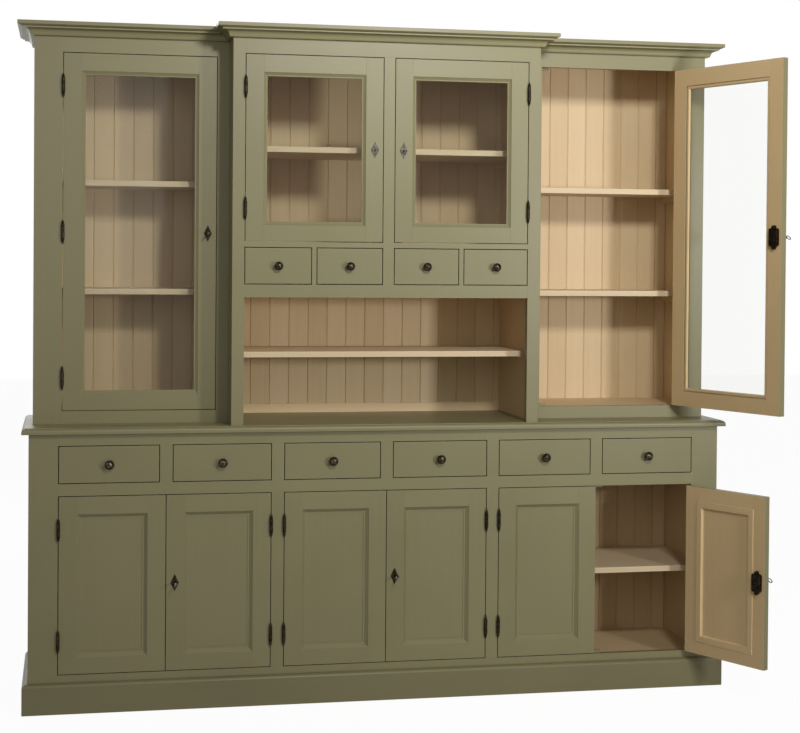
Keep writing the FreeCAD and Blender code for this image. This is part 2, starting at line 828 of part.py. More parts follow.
def lock_case(door):
    """A rim lock's case: a hollow box with clipped corners, a lug above and below, and a bolt slot."""
    wide = lock_width / 2
    tall = lock_height / 2
    lug = lock_lug_width / 2
    tip = tall + lock_lug_height
    quarter = [(lug / 2, tip), (lug, tip - lug), (lug, tall), (wide - lock_corner, tall), (wide, tall - lock_corner)]
    right = quarter + [(x, -z) for x, z in quarter[::-1]]
    points = right + [(-x, z) for x, z in right[::-1]]
    ring = [Vector(door.key_x + x, door.back, door.key_z + z) for x, z in points + points[:1]]
    case = Part.Face(Part.makePolygon(ring)).extrude(Vector(0, lock_depth, 0))
    inner_wide = wide - lock_wall
    inner_tall = tall - lock_corner
    hollow = board(door.key_x - inner_wide, door.key_x + inner_wide,
                   door.back - overrun, door.back + lock_depth - lock_wall,
                   door.key_z - inner_tall, door.key_z + inner_tall)
    room = bolt_height / 2 + bolt_clearance
    front, back = bolt_planes(door)
    edge = door.key_x - door.side * wide
    slot = board(edge - door.side * overrun, edge + door.side * (lock_wall + overrun),
                 front - bolt_clearance, back + bolt_clearance, door.key_z - room, door.key_z + room)
    return case.cut(hollow).cut(slot)


def lock_bolt(door):
    """The bolt drawn back, its end flush with the case, forked behind to straddle the key."""
    wide = lock_width / 2
    edge = door.key_x - door.side * wide
    rear = door.key_x + door.side * (wide - lock_wall - bolt_clearance)
    front, back = bolt_planes(door)
    half = bolt_height / 2
    fork = key_shank_radius + bolt_clearance
    plate = board(edge, rear, front, back, door.key_z - half, door.key_z + half)
    slot = board(door.key_x - door.side * fork, rear + door.side * overrun,
                 front - overrun, back + overrun, door.key_z - fork, door.key_z + fork)
    return plate.cut(slot)


def door_key(door):
    """Shank, collar, a ring bow in front of the door, and the bit inside the lock."""
    ahead = Vector(0, 1, 0)
    bit_front = bolt_planes(door)[1] + bolt_clearance
    inner = bit_front + key_bit_depth
    bow_y = door.front - key_projection + key_bow_radius
    shank_start = bow_y + key_bow_hole
    half = key_bow_thickness / 2
    shank = rod(key_shank_radius, inner - shank_start, key_sides, Vector(door.key_x, shank_start, door.key_z), ahead)
    collar = rod(key_collar_radius, key_collar_length, key_sides,
                 Vector(door.key_x, bow_y + key_bow_radius, door.key_z), ahead)
    bow = rod(key_bow_radius, key_bow_thickness, key_bow_sides, Vector(door.key_x, bow_y, door.key_z - half))
    bow = bow.cut(rod(key_bow_hole, 2 * key_bow_thickness, key_bow_sides,
                      Vector(door.key_x, bow_y, door.key_z - key_bow_thickness)))
    bow.rotate(Vector(door.key_x, 0, door.key_z), ahead, -key_rest_turn)
    thin = key_bit_thickness / 2
    bit = board(door.key_x - thin, door.key_x + thin, bit_front, inner, door.key_z - key_bit_length, door.key_z)
    return shank.fuse([collar, bow, bit])


def knob(x, z, radius):
    """A turned knob on a small round back plate."""
    ahead = Vector(0, -1, 0)
    centre = Vector(x, face, z)

    def place(share):
        return (radius * share[0], knob_projection * share[1])

    widest = knob_projection * knob_widest_share
    neck = place(knob_neck_share)
    plate = [(knob_plate_radius, 0), (neck[0], knob_plate_thickness)]
    head = [(neck[0], knob_plate_thickness), neck, place(knob_cup_share), (radius, widest)]
    head += crown(radius, widest, knob_projection, knob_bands)
    return [facets(plate, knob_sides, centre, ahead), facets(head, knob_sides, centre, ahead)]


def drawer(left, right, low, high, length, knob_radius):
    """Front, two sides, back and bottom of a drawer, and its knob."""
    x0 = left + gap
    x1 = right - gap
    back = face + frame_thickness
    rear = back + length
    bottom = low + runner_clearance
    top = high - gap - drawer_side_drop
    side = drawer_side_thickness
    lift = bottom + drawer_bottom_lift
    shelf_top = lift + drawer_bottom_thickness
    pieces = [
        board(x0, x1, face, back, low + gap, high - gap),
        board(x0, x0 + side, back, rear, bottom, top),
        board(x1 - side, x1, back, rear, bottom, top),
        board(x0 + side, x1 - side, rear - side, rear, shelf_top, top),
        board(x0 + side, x1 - side, back, rear, lift, shelf_top),
    ]
    return pieces + knob((x0 + x1) / 2, (low + high) / 2, knob_radius)


def all_doors():
    """Every door by name. Only the right-hand door of each lower pair has a lock."""
    doors = {}
    for place, (left, right) in zip(("left", "middle", "right"), pair_edges()):
        middle = (left + right) / 2
        opened = base_open_angle if place == "right" else 0
        doors[place + "_pair_left_door"] = Door((left + gap, middle - gap / 2), door_low, door_high, face,
                                                -1, 2, False, False, False, 0)
        doors[place + "_pair_right_door"] = Door((middle + gap / 2, right - gap), door_low, door_high, face,
                                                 1, 2, False, True, True, opened)
    for place, side, opened in (("left", -1, 0), ("right", 1, tower_open_angle)):
        edges = (side * (tower_opening_inner + gap), side * (tower_opening_outer - gap))
        doors[place + "_tower_door"] = Door(edges, tower_low, tower_high, tower_face,
                                            side, 3, True, True, True, opened)
    for place, side in (("left", -1), ("right", 1)):
        edges = (side * (centre_opening_inner + gap), side * (centre_opening_outer - gap))
        doors[place + "_centre_door"] = Door(edges, centre_low, centre_high, face,
                                             side, 2, True, True, False, 0)
    return doors


def save_carcass():
    save("plinth", plinth())
    save("base_carcass", base_carcass())
    save("base_face_frame", base_face_frame())
    save("base_back_boards", back_boards(side_thickness - half_base, half_base - side_thickness, 0, worktop_under))
    save("base_shelves", base_shelves())
    save("drawer_runners", drawer_runners() + spice_guides())
    save("worktop", worktop())
    save("hutch_carcass", hutch_carcass())
    save("hutch_face_frames", tower_face_frame(-1) + tower_face_frame(1) + centre_face_frame())
    save("hutch_back_boards", hutch_back_boards())
    save("hutch_shelves", hutch_shelves())
    save("shelf_supports", shelf_supports())
    save("cornice", cornice())


def save_drawers():
    for number, (left, right) in enumerate(drawer_edges(), 1):
        save("base_drawer_%d" % number,
             drawer(left, right, drawer_low, drawer_high, base_drawer_length, base_knob_radius))
    for number, (left, right) in enumerate(spice_edges(), 1):
        save("spice_drawer_%d" % number,
             drawer(left, right, spice_low, spice_high, spice_drawer_length, spice_knob_radius))


def save_doors():
    frame_halves = []
    for name, door in all_doors().items():
        frame_halves += hinge_frame_halves(door)
        save(name, door.hang(door_woodwork(door)))
        if door.glazed:
            save(name.replace("door", "glass"), door.hang(door_glass(door)))
        ironware = hinge_door_halves(door)
        if door.locked:
            ironware += [escutcheon(door), lock_case(door)]
            save(name + "_bolt", door.hang([lock_bolt(door)]))
        save(name + "_ironware", door.hang(ironware))
        if door.keyed:
            save(name + "_key", door.hang([door_key(door)]))
    save("hinge_frame_halves", frame_halves)


save_carcass()
save_drawers()
save_doors()
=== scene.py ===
import json
import math

import bmesh
import bpy
from mathutils import Matrix, Vector

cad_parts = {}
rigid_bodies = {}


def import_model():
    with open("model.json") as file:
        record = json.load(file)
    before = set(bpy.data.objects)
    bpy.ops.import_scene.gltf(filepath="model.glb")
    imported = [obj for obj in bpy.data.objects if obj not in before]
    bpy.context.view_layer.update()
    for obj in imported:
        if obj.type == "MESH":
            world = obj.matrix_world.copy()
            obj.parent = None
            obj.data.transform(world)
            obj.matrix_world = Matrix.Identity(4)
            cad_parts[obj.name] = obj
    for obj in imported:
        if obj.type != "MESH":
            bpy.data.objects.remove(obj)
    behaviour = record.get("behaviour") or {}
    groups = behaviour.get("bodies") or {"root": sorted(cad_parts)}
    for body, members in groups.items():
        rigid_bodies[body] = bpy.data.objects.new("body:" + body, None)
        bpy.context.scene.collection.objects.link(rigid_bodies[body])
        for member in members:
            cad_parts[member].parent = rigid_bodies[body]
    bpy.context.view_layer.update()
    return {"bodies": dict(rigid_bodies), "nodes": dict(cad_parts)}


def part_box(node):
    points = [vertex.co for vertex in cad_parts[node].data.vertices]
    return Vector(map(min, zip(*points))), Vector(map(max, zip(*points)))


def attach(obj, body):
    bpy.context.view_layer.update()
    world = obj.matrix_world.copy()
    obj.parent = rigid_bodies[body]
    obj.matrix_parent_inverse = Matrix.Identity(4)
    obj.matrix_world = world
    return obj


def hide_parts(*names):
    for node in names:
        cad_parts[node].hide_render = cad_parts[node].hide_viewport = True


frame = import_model()
nodes = frame["nodes"]
scene = bpy.context.scene
scene.view_settings.view_transform = "Standard"


# The plinth: a softwood moulding rounded along its top, mitred at the front corners and
# nailed to bearers. Like all the outer boards it has one satin coat of olive paint,
# brushed on along each length. The plinth's colours are the olive painted darker, as painted shade where less
# light falls near the floor.
olive_coats = ((0.238, 0.213, 0.104), (0.204, 0.182, 0.085), (0.330, 0.303, 0.178))
plinth_shade_coats = ((0.196, 0.175, 0.082), (0.166, 0.148, 0.067), (0.275, 0.252, 0.145))
flat_angle = math.radians(1)
corner_angle = 0.6
tone_step = 0.618
grain_step = 0.731
upward = Vector((0, 0, 1))
backward = Vector((0, 1, 0))


def new_group(name, inputs, outputs):
    """An empty shader group with its sockets, all of them numbers."""
    group = bpy.data.node_groups.new(name, "ShaderNodeTree")
    for label, value in inputs:
        socket = group.interface.new_socket(name=label, in_out="INPUT", socket_type="NodeSocketFloat")
        socket.default_value = value
    for label in outputs:
        group.interface.new_socket(name=label, in_out="OUTPUT", socket_type="NodeSocketFloat")
    return group, group.nodes.new("NodeGroupInput"), group.nodes.new("NodeGroupOutput")


def add_node(tree, kind, **values):
    """A node with its settings."""
    node = tree.nodes.new(kind)
    for label, value in values.items():
        setattr(node, label, value)
    return node


def set_sockets(node, **values):
    """Sets a node's sockets, which are called by their names with lines for spaces."""
    for label, value in values.items():
        node.inputs[label.replace("_", " ")].default_value = value


def wire(tree, *pairs):
    """Joins each output to its input."""
    for source, target in pairs:
        tree.links.new(source, target)


def figure(tree, operation, first, second, clamp=False):
    """One sum in a tree, of numbers or of the values of other nodes."""
    node = add_node(tree, "ShaderNodeMath", operation=operation, use_clamp=clamp)
    for socket, value in zip(node.inputs, (first, second)):
        if isinstance(value, (int, float)):
            socket.default_value = value
        else:
            tree.links.new(value, socket)
    return node.outputs[0]


def speckle(tree, where, scale, detail, stretch=None, distortion=0.0):
    """Noise that swings evenly about zero."""
    if stretch:
        mapping = add_node(tree, "ShaderNodeMapping")
        set_sockets(mapping, Scale=stretch)
        wire(tree, (where, mapping.inputs["Vector"]))
        where = mapping.outputs["Vector"]
    noise = add_node(tree, "ShaderNodeTexNoise")
    set_sockets(noise, Scale=scale, Detail=detail, Distortion=distortion)
    wire(tree, (where, noise.inputs["Vector"]))
    return figure(tree, "SUBTRACT", noise.outputs["Fac"], 0.5)


def build_brushed_grain():
    """Streaks along a board, clouds over the piece, fine brush lines, and each board's tone."""
    tree, given, made = new_group(
        "brushed_grain", [("Streak", 1.0), ("Cloud", 1.0), ("Brush", 1.0), ("Board", 0.1)],
        ["Tone", "Gloss", "Height"])
    along = add_node(tree, "ShaderNodeUVMap", uv_map="grain").outputs["UV"]
    where = add_node(tree, "ShaderNodeTexCoord").outputs["Object"]
    own = add_node(tree, "ShaderNodeAttribute", attribute_name="board").outputs["Fac"]
    streak = figure(tree, "MULTIPLY", speckle(tree, along, 2, 4, (1.1, 34, 1), 0.7), given.outputs["Streak"])
    cloud = figure(tree, "MULTIPLY", speckle(tree, where, 2.6, 2), given.outputs["Cloud"])
    brush = figure(tree, "MULTIPLY", speckle(tree, along, 2, 3, (7, 330, 1)), given.outputs["Brush"])
    board = figure(tree, "MULTIPLY", figure(tree, "SUBTRACT", own, 0.5), given.outputs["Board"])
    fine = figure(tree, "ADD", streak, brush)
    broad = figure(tree, "ADD", cloud, board)
    tone = figure(tree, "ADD", figure(tree, "ADD", fine, broad), 0.5, True)
    gloss = figure(tree, "ADD", figure(tree, "MULTIPLY", brush, 0.5), cloud)
    wire(tree, (tone, made.inputs["Tone"]), (gloss, made.inputs["Gloss"]), (fine, made.inputs["Height"]))
    return tree


def build_worn_and_highlit_edges():
    """Eased edges made paler in patches: worn paint, and a painted highlight along the edges."""
    tree, given, made = new_group("rubbed_edges", [("Amount", 0.5)], ["Mask"])
    worn = add_node(tree, "ShaderNodeAttribute", attribute_name="worn").outputs["Fac"]
    where = add_node(tree, "ShaderNodeTexCoord").outputs["Object"]
    patch = figure(tree, "ADD", speckle(tree, where, 14, 3), 0.55, True)
    mask = figure(tree, "MULTIPLY", figure(tree, "MULTIPLY", worn, patch), given.outputs["Amount"])
    wire(tree, (mask, made.inputs["Mask"]))
    return tree


brushed_grain = build_brushed_grain()
rubbed_edges = build_worn_and_highlit_edges()


def new_material(name):
    """A material, its tree and its main shader."""
    material = bpy.data.materials.new(name)
    material.use_nodes = True
    return material, material.node_tree, material.node_tree.nodes["Principled BSDF"]


def two_tones(tree, tone, positions, colours):
    """A deep and a light colour, blended between two positions of the tone."""
    ramp = add_node(tree, "ShaderNodeValToRGB")
    for stop, position, colour in zip(ramp.color_ramp.elements, positions, colours):
        stop.position = position
        stop.color = (*colour, 1)
    wire(tree, (tone, ramp.inputs["Fac"]))
    return ramp.outputs["Color"]


def raise_surface(tree, shader, height, strength, distance):
    """Makes a surface look raised where the height is great."""
    lift = add_node(tree, "ShaderNodeBump")
    set_sockets(lift, Strength=strength, Distance=distance)
    wire(tree, (height, lift.inputs["Height"]), (lift.outputs["Normal"], shader.inputs["Normal"]))


def finished_wood(name, colours, roughness, sheen=0.4, streak=0.3, cloud=0.8, brush=0.12, board=0.2,
                  bump=0.15, rubbed=0.5):
    """Paint or wax on softwood, in three tones: the light and the deep one follow the grain,
    and the third, paler, is on eased edges, as worn paint and a painted highlight. What isn't
    given is as on the satin olive paint."""
    light, deep, edge = colours
    material, tree, shader = new_material(name)
    grain = add_node(tree, "ShaderNodeGroup", node_tree=brushed_grain)
    set_sockets(grain, Streak=streak, Cloud=cloud, Brush=brush, Board=board)
    wear = add_node(tree, "ShaderNodeGroup", node_tree=rubbed_edges)
    set_sockets(wear, Amount=rubbed)
    coat = add_node(tree, "ShaderNodeMix", data_type="RGBA")
    set_sockets(coat, B=(*edge, 1))
    rough = figure(tree, "ADD", figure(tree, "MULTIPLY", grain.outputs["Gloss"], 0.25), roughness)
    wire(tree, (two_tones(tree, grain.outputs["Tone"], (0.2, 0.8), (deep, light)), coat.inputs["A"]),
         (wear.outputs["Mask"], coat.inputs["Factor"]), (coat.outputs["Result"], shader.inputs["Base Color"]),
         (rough, shader.inputs["Roughness"]))
    raise_surface(tree, shader, grain.outputs["Height"], bump, 0.0006)
    set_sockets(shader, Specular_IOR_Level=sheen)
    return material


olive_paint = finished_wood("olive_paint", olive_coats, 0.40)
plinth_paint = finished_wood("plinth_paint", plinth_shade_coats, 0.40)


def pair_faces(edge, users, spots, triangles):
    """Boards that touch share an edge: pairs its faces so that each pair bounds one board."""
    start = Vector(spots[edge[0]])
    line = (Vector(spots[edge[1]]) - start).normalized()
    first = line.orthogonal().normalized()
    second = line.cross(first)
    turns = []
    for number in users:
        one, two, three = (Vector(spots[i]) for i in triangles[number])
        far = next(Vector(spots[i]) for i in triangles[number] if i not in edge) - start
        far -= line * far.dot(line)
        opens = (two - one).cross(three - one).dot(line.cross(far)) < 0
        turns.append((math.atan2(far.dot(second), far.dot(first)) % math.tau, opens, number))
    turns.sort()
    clear = max(range(len(turns)), key=lambda i: (turns[i][0] - turns[i - 1][0]) % math.tau)
    around = []
    for angle, opens, number in turns[clear:] + turns[:clear]:
        angle = (angle - turns[clear][0]) % math.tau
        if around and angle - around[-1][0] < 0.01:
            angle = around[-1][0]
        around.append((angle, opens, number))
    around.sort()
    pairs = []
    for i, (_, opens, number) in enumerate(around):
        _, other_opens, other = around[(i + 1) % len(around)]
        if opens and not other_opens:
            pairs.append((number, other))
    return pairs


def split_boards(mesh):
    """The separate boards of a CAD node: its corner places, and each board's triangles."""
    mesh.calc_loop_triangles()
    places = {}
    corner = [places.setdefault(tuple(round(c, 6) for c in v.co), len(places)) for v in mesh.vertices]
    spots = list(places)
    triangles = [tuple(corner[i] for i in t.vertices) for t in mesh.loop_triangles]
    triangles = [t for t in triangles if len(set(t)) == 3]
    edges = {}
    for number, t in enumerate(triangles):
        for a, b in ((t[0], t[1]), (t[1], t[2]), (t[2], t[0])):
            edges.setdefault((min(a, b), max(a, b)), []).append(number)
    owner = list(range(len(triangles)))

    def root(i):
        while owner[i] != i:
            owner[i] = owner[owner[i]]
            i = owner[i]
        return i

    for edge, users in edges.items():
        for one, other in [users] if len(users) == 2 else pair_faces(edge, users, spots, triangles):
            owner[root(one)] = root(other)
    boards = {}
    for number, t in enumerate(triangles):
        boards.setdefault(root(number), []).append(t)
    return spots, list(boards.values())


def empty_mesh():
    """A mesh with room for the grain, for the eased faces that are painted paler as wear and a painted
    highlight, and for each board's tone.
    """
    mesh = bmesh.new()
    mesh.loops.layers.uv.new("grain")
    mesh.faces.layers.float.new("worn")
    mesh.faces.layers.float.new("board")
    return mesh


def pour(whole, part):
    """Adds one mesh to another, and lets the first go."""
    scrap = bpy.data.meshes.new("scrap")
    part.to_mesh(scrap)
    part.free()
    whole.from_mesh(scrap)
    bpy.data.meshes.remove(scrap)


def lay_grain(mesh, along, up, origin, number):
    """Writes each face's place on its board, in metres, with the first way along the grain."""
    layer = mesh.loops.layers.uv["grain"]
    tone = mesh.faces.layers.float["board"]
    across = up.cross(along).normalized()
    shift = number * grain_step % 5
    for face in mesh.faces:
        face[tone] = number * tone_step % 1
        if abs(face.normal.dot(along)) > 0.8:
            first, second = across, up
        else:
            first = along
            second = up if abs(face.normal.dot(across)) > abs(face.normal.dot(up)) else across
        for loop in face.loops:
            point = loop.vert.co - origin
            loop[layer].uv = (point.dot(first) + shift, point.dot(second) + shift * 3.7)


def eased_boards(node_name, ease, coat=None, keep=None, cut=None):
    """The boards of a CAD node, their edges eased with sandpaper and their grain laid.
    The coat says which material a face gets, keep which boards are wanted, and cut is a
    depth at which every board is parted for two coats."""
    whole = empty_mesh()
    spots, boards = split_boards(nodes[node_name].data)
    for number, triangles in enumerate(boards):
        board = empty_mesh()
        corners = {i: board.verts.new(spots[i]) for i in sorted({i for t in triangles for i in t})}
        middle = sum((v.co for v in board.verts), Vector()) / len(board.verts)
        if keep and not keep(middle):
            board.free()
            continue
        for t in triangles:
            board.faces.new([corners[i] for i in t])
        board.normal_update()
        bmesh.ops.dissolve_limit(board, angle_limit=flat_angle, verts=board.verts, edges=board.edges)
        board.normal_update()
        longest = max(board.edges, key=lambda e: e.calc_length())
        along = (longest.verts[1].co - longest.verts[0].co).normalized()
        up = max(board.faces, key=lambda f: f.calc_area() * (1 - abs(f.normal.dot(along)))).normal.copy()
        if cut is not None:
            bmesh.ops.bisect_plane(board, geom=board.verts[:] + board.edges[:] + board.faces[:],
                                   plane_co=(0, cut, 0), plane_no=(0, 1, 0))
        if coat:
            for face in board.faces:
                face.material_index = coat(middle, face.normal, face.calc_center_median())
        sharp = [e for e in board.edges if len(e.link_faces) == 2 and e.calc_face_angle(0) > corner_angle]
        eased = bmesh.ops.bevel(board, geom=sharp, offset=ease, segments=2, profile=0.5, affect="EDGES",
                                clamp_overlap=True, material=-1)
        # The eased faces are marked to be painted paler: worn paint and a painted highlight along the edges.
        worn = board.faces.layers.float["worn"]
        for face in eased["faces"]:
            face[worn] = 1
        board.normal_update()
        lay_grain(board, along, up, middle, number)
        pour(whole, board)
    return whole


def new_object(name, data):
    """An object in the scene."""
    thing = bpy.data.objects.new(name, data)
    scene.collection.objects.link(thing)
    return thing


def discard(piece):
    """Lets an object and its mesh go."""
    mesh = piece.data
    bpy.data.objects.remove(piece)
    bpy.data.meshes.remove(mesh)


def settle(piece):
    """Makes what the piece's modifiers give into its own plain mesh."""
    made = bpy.data.meshes.new_from_object(piece.evaluated_get(bpy.context.evaluated_depsgraph_get()))
    old, piece.data = piece.data, made
    piece.modifiers.clear()
    made.name = piece.name
    if old.users == 0:
        bpy.data.meshes.remove(old)
    return piece


def finish_piece(whole, name, *materials, crisp=40):
    """A piece shaded so that broad faces stay flat and eased edges look round. Faces that
    meet at more than the crisp angle show a line."""
    mesh = bpy.data.meshes.new(name)
    whole.to_mesh(mesh)
    whole.free()
    mesh.polygons.foreach_set("use_smooth", [True] * len(mesh.polygons))
    mesh.set_sharp_from_angle(angle=math.radians(crisp))
    for material in materials:
        mesh.materials.append(material)
    piece = new_object(name, mesh)
    weigh = piece.modifiers.new("flat_faces", "WEIGHTED_NORMAL")
    weigh.keep_sharp = True
    weigh.weight = 100
    return settle(piece)


def fix(piece, body, slot, *node_names):
    """Fixes a finished piece to its body, in place of the CAD solids that it stands for."""
    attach(piece, body)
    if node_names:
        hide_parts(*node_names)


def fix_boards(node_name, ease, name, slot, *materials, **wishes):
    """Eases all the boards of a fixed CAD node and puts them in its place."""
    fix(finish_piece(eased_boards(node_name, ease, **wishes), name, *materials), "cupboard", slot, node_name)


fix_boards("plinth", 0.0012, "plinth_mouldings", "olive_paint", plinth_paint)


# The base: end panels, partitions and a bottom board behind a face frame of stiles,
# rails and dividers, which is mortised and glued. It is olive outside and on the frame,
# and inside it has a matt warm cream, brushed on before the back went in.
cream_coats = ((0.690, 0.535, 0.325), (0.610, 0.458, 0.262), (0.800, 0.670, 0.460))
base_end_middle = 1.130
bottom_board_height = 0.1
stop_depths = ((-0.194, -0.190), (-0.076, -0.072))
cream_paint = finished_wood("cream_paint", cream_coats, 0.50, sheen=0.3, streak=0.5, cloud=0.4, brush=0.15,
                            board=0.5, bump=0.2, rubbed=0.7)


def coat_base(middle, normal, place):
    """Cream on every face between the end panels, except under the bottom board."""
    outside = abs(place.x) > base_end_middle or normal.y > 0.5
    return 0 if outside or (normal.z < -0.5 and place.z < bottom_board_height) else 1


def coat_frame(middle, normal, place):
    """The back of a face frame is cream, and the door stops behind it are painted olive, darker than the cream
    around them, as painted shade.
    """
    stop = any(near < middle.y < far for near, far in stop_depths)
    return 1 if normal.y > 0.5 and not stop else 0


fix_boards("base_carcass", 0.001, "base_boards", "olive_paint", olive_paint, cream_paint, coat=coat_base)
fix_boards("base_face_frame", 0.0004, "base_frame", "olive_paint", olive_paint, cream_paint, coat=coat_frame)


# The backs: upright boards with a bevel down both edges of the inner face, butted and
# nailed on from behind, the outer ones cut to fit. Each board took the cream paint a
# little differently. The batten across the foot of the niche is nailed to the hutch's.
board_pitch = 0.067
back_face = 0.210
back_thickness = 0.010
back_bevel = 0.003
base_back = (-1.120, 1.120, 0.0, 0.878)
hutch_back = (-1.110, 1.110, 0.898, 2.179)


def new_tree(name, inputs):
    """An empty Geometry Nodes tree with named inputs and geometry in and out."""
    tree = bpy.data.node_groups.new(name, "GeometryNodeTree")
    tree.interface.new_socket(name="Geometry", in_out="INPUT", socket_type="NodeSocketGeometry")
    for label, kind in inputs:
        tree.interface.new_socket(name=label, in_out="INPUT", socket_type="NodeSocket" + kind)
    tree.interface.new_socket(name="Geometry", in_out="OUTPUT", socket_type="NodeSocketGeometry")
    return tree, tree.nodes.new("NodeGroupInput").outputs, tree.nodes.new("NodeGroupOutput").inputs


def finish_tree(tree, geometry, given, made):
    """Every tree ends in real meshes in place of instances, and their material."""
    real = add_node(tree, "GeometryNodeRealizeInstances")
    coat = add_node(tree, "GeometryNodeSetMaterial")
    wire(tree, (geometry, real.inputs[0]), (real.outputs[0], coat.inputs["Geometry"]),
         (given["Material"], coat.inputs["Material"]), (coat.outputs[0], made[0]))
    return tree


def run_tree(tree, places, name, values):
    """Runs a tree on a mesh of places and gives what it makes as a bmesh."""
    piece = new_object(name, places)
    modifier = piece.modifiers.new(tree.name, "NODES")
    modifier.node_group = tree
    sockets = {s.name: s.identifier for s in tree.interface.items_tree if s.in_out == "INPUT"}
    for label, value in values.items():
        modifier[sockets[label]] = value
    settle(piece)
    made = empty_mesh()
    made.from_mesh(piece.data)
    discard(piece)
    return made


def build_boarding():
    """Boards of one width side by side, one at each place, drawn in plan and raised.
    A place also carries the board's own width, for the outer ones."""
    tree, given, made = new_tree("boarding", [
        ("Foot", "Float"), ("Height", "Float"), ("Pitch", "Float"), ("Thickness", "Float"), ("Bevel", "Float"),
        ("Material", "Material")])
    plan = add_node(tree, "GeometryNodeCurvePrimitiveQuadrilateral", mode="RECTANGLE")
    corner = add_node(tree, "GeometryNodeInputPosition")
    depth = add_node(tree, "ShaderNodeSeparateXYZ")
    wire(tree, (given["Pitch"], plan.inputs["Width"]), (given["Thickness"], plan.inputs["Height"]),
         (corner.outputs[0], depth.inputs[0]))
    bevel = figure(tree, "MULTIPLY", figure(tree, "LESS_THAN", depth.outputs["Y"], 0.0), given["Bevel"])
    chamfer = add_node(tree, "GeometryNodeFilletCurve", mode="POLY")
    set_sockets(chamfer, Count=1)
    lift = add_node(tree, "ShaderNodeCombineXYZ")
    foot = add_node(tree, "GeometryNodeTransform")
    sheet = add_node(tree, "GeometryNodeFillCurve", mode="NGONS")
    raise_up = add_node(tree, "GeometryNodeExtrudeMesh", mode="FACES")
    set_sockets(raise_up, Offset=(0, 0, 1))
    under = add_node(tree, "GeometryNodeFlipFaces")
    joined = add_node(tree, "GeometryNodeJoinGeometry")
    closed = add_node(tree, "GeometryNodeMergeByDistance")
    set_sockets(closed, Distance=0.00001)
    width = add_node(tree, "GeometryNodeInputNamedAttribute", data_type="FLOAT")
    set_sockets(width, Name="board_width")
    size = add_node(tree, "ShaderNodeCombineXYZ")
    set_sockets(size, Y=1, Z=1)
    points = add_node(tree, "GeometryNodeMeshToPoints")
    place = add_node(tree, "GeometryNodeInstanceOnPoints")
    wire(tree, (plan.outputs[0], chamfer.inputs["Curve"]), (bevel, chamfer.inputs["Radius"]),
         (given["Foot"], lift.inputs["Z"]), (chamfer.outputs[0], sheet.inputs["Curve"]),
         (sheet.outputs[0], raise_up.inputs["Mesh"]), (given["Height"], raise_up.inputs["Offset Scale"]),
         (sheet.outputs[0], under.inputs["Mesh"]), (raise_up.outputs["Mesh"], joined.inputs[0]),
         (under.outputs[0], joined.inputs[0]), (joined.outputs[0], closed.inputs["Geometry"]),
         (closed.outputs[0], foot.inputs["Geometry"]), (lift.outputs[0], foot.inputs["Translation"]),
         (figure(tree, "DIVIDE", width.outputs[0], given["Pitch"]), size.inputs["X"]),
         (given["Geometry"], points.inputs[0]), (points.outputs[0], place.inputs["Points"]),
         (foot.outputs[0], place.inputs["Instance"]), (size.outputs[0], place.inputs["Scale"]))
    return finish_tree(tree, place.outputs[0], given, made)


boarding = build_boarding()


def boarded_back(left, right, foot, head):
    """One back of upright boards, set out from the middle joint."""
    least = 3 * back_bevel
    count = math.ceil(right / board_pitch)
    lines = [i * board_pitch for i in range(-count, count + 1)]
    joints = [left] + [x for x in lines if left + least < x < right - least] + [right]
    places = bpy.data.meshes.new("back_places")
    depth = back_face + back_thickness / 2
    places.from_pydata([((a + b) / 2, depth, 0) for a, b in zip(joints[:-1], joints[1:])], [], [])
    widths = places.attributes.new("board_width", "FLOAT", "POINT")
    widths.data.foreach_set("value", [b - a for a, b in zip(joints[:-1], joints[1:])])
    back = run_tree(boarding, places, "back", {
        "Foot": foot, "Height": head - foot, "Pitch": board_pitch, "Thickness": back_thickness,
        "Bevel": back_bevel, "Material": cream_paint})
    bmesh.ops.recalc_face_normals(back, faces=back.faces)
    lay_grain(back, upward, backward, Vector(), 0)
    tone = back.faces.layers.float["board"]
    for face in back.faces:
        number = math.floor(face.calc_center_median().x / board_pitch)
        face[tone] = number * tone_step % 1
        face.material_index = 0
        for loop in face.loops:
            loop[back.loops.layers.uv["grain"]].uv += Vector((number * grain_step, number * 0.377))
    return back


fix(finish_piece(boarded_back(*base_back), "base_back", cream_paint),
    "cupboard", "cream_paint", "base_back_boards")
hutch_boards = eased_boards("hutch_back_boards", 0.0015, keep=lambda middle: middle.y < back_face)
pour(hutch_boards, boarded_back(*hutch_back))
fix(finish_piece(hutch_boards, "hutch_back", cream_paint), "cupboard", "cream_paint", "hutch_back_boards")


# The shelves: loose boards with their two front corners clipped, so that they tip in
# past the frame, on cleats screwed to the sides. The niche shelf lies on four turned
# pegs instead. All are cream, with front edges sanded round and painted paler, as wear and a painted highlight.
shelf_coats = ((0.720, 0.575, 0.375), (0.650, 0.500, 0.305), (0.860, 0.745, 0.560))
peg_radius = 0.004
peg_length = 0.018
peg_reach = 0.487984
niche_shelf_under = 1.109994
peg_depths = (-0.102, 0.182)
shelf_paint = finished_wood("shelf_paint", shelf_coats, 0.5, sheen=0.3, streak=0.5, cloud=0.4, brush=0.3,
                            board=0.3, bump=0.3, rubbed=0.8)

for node_name in ("base_shelves", "hutch_shelves"):
    fix_boards(node_name, 0.0018, node_name + "_boards", "cream_paint", shelf_paint)


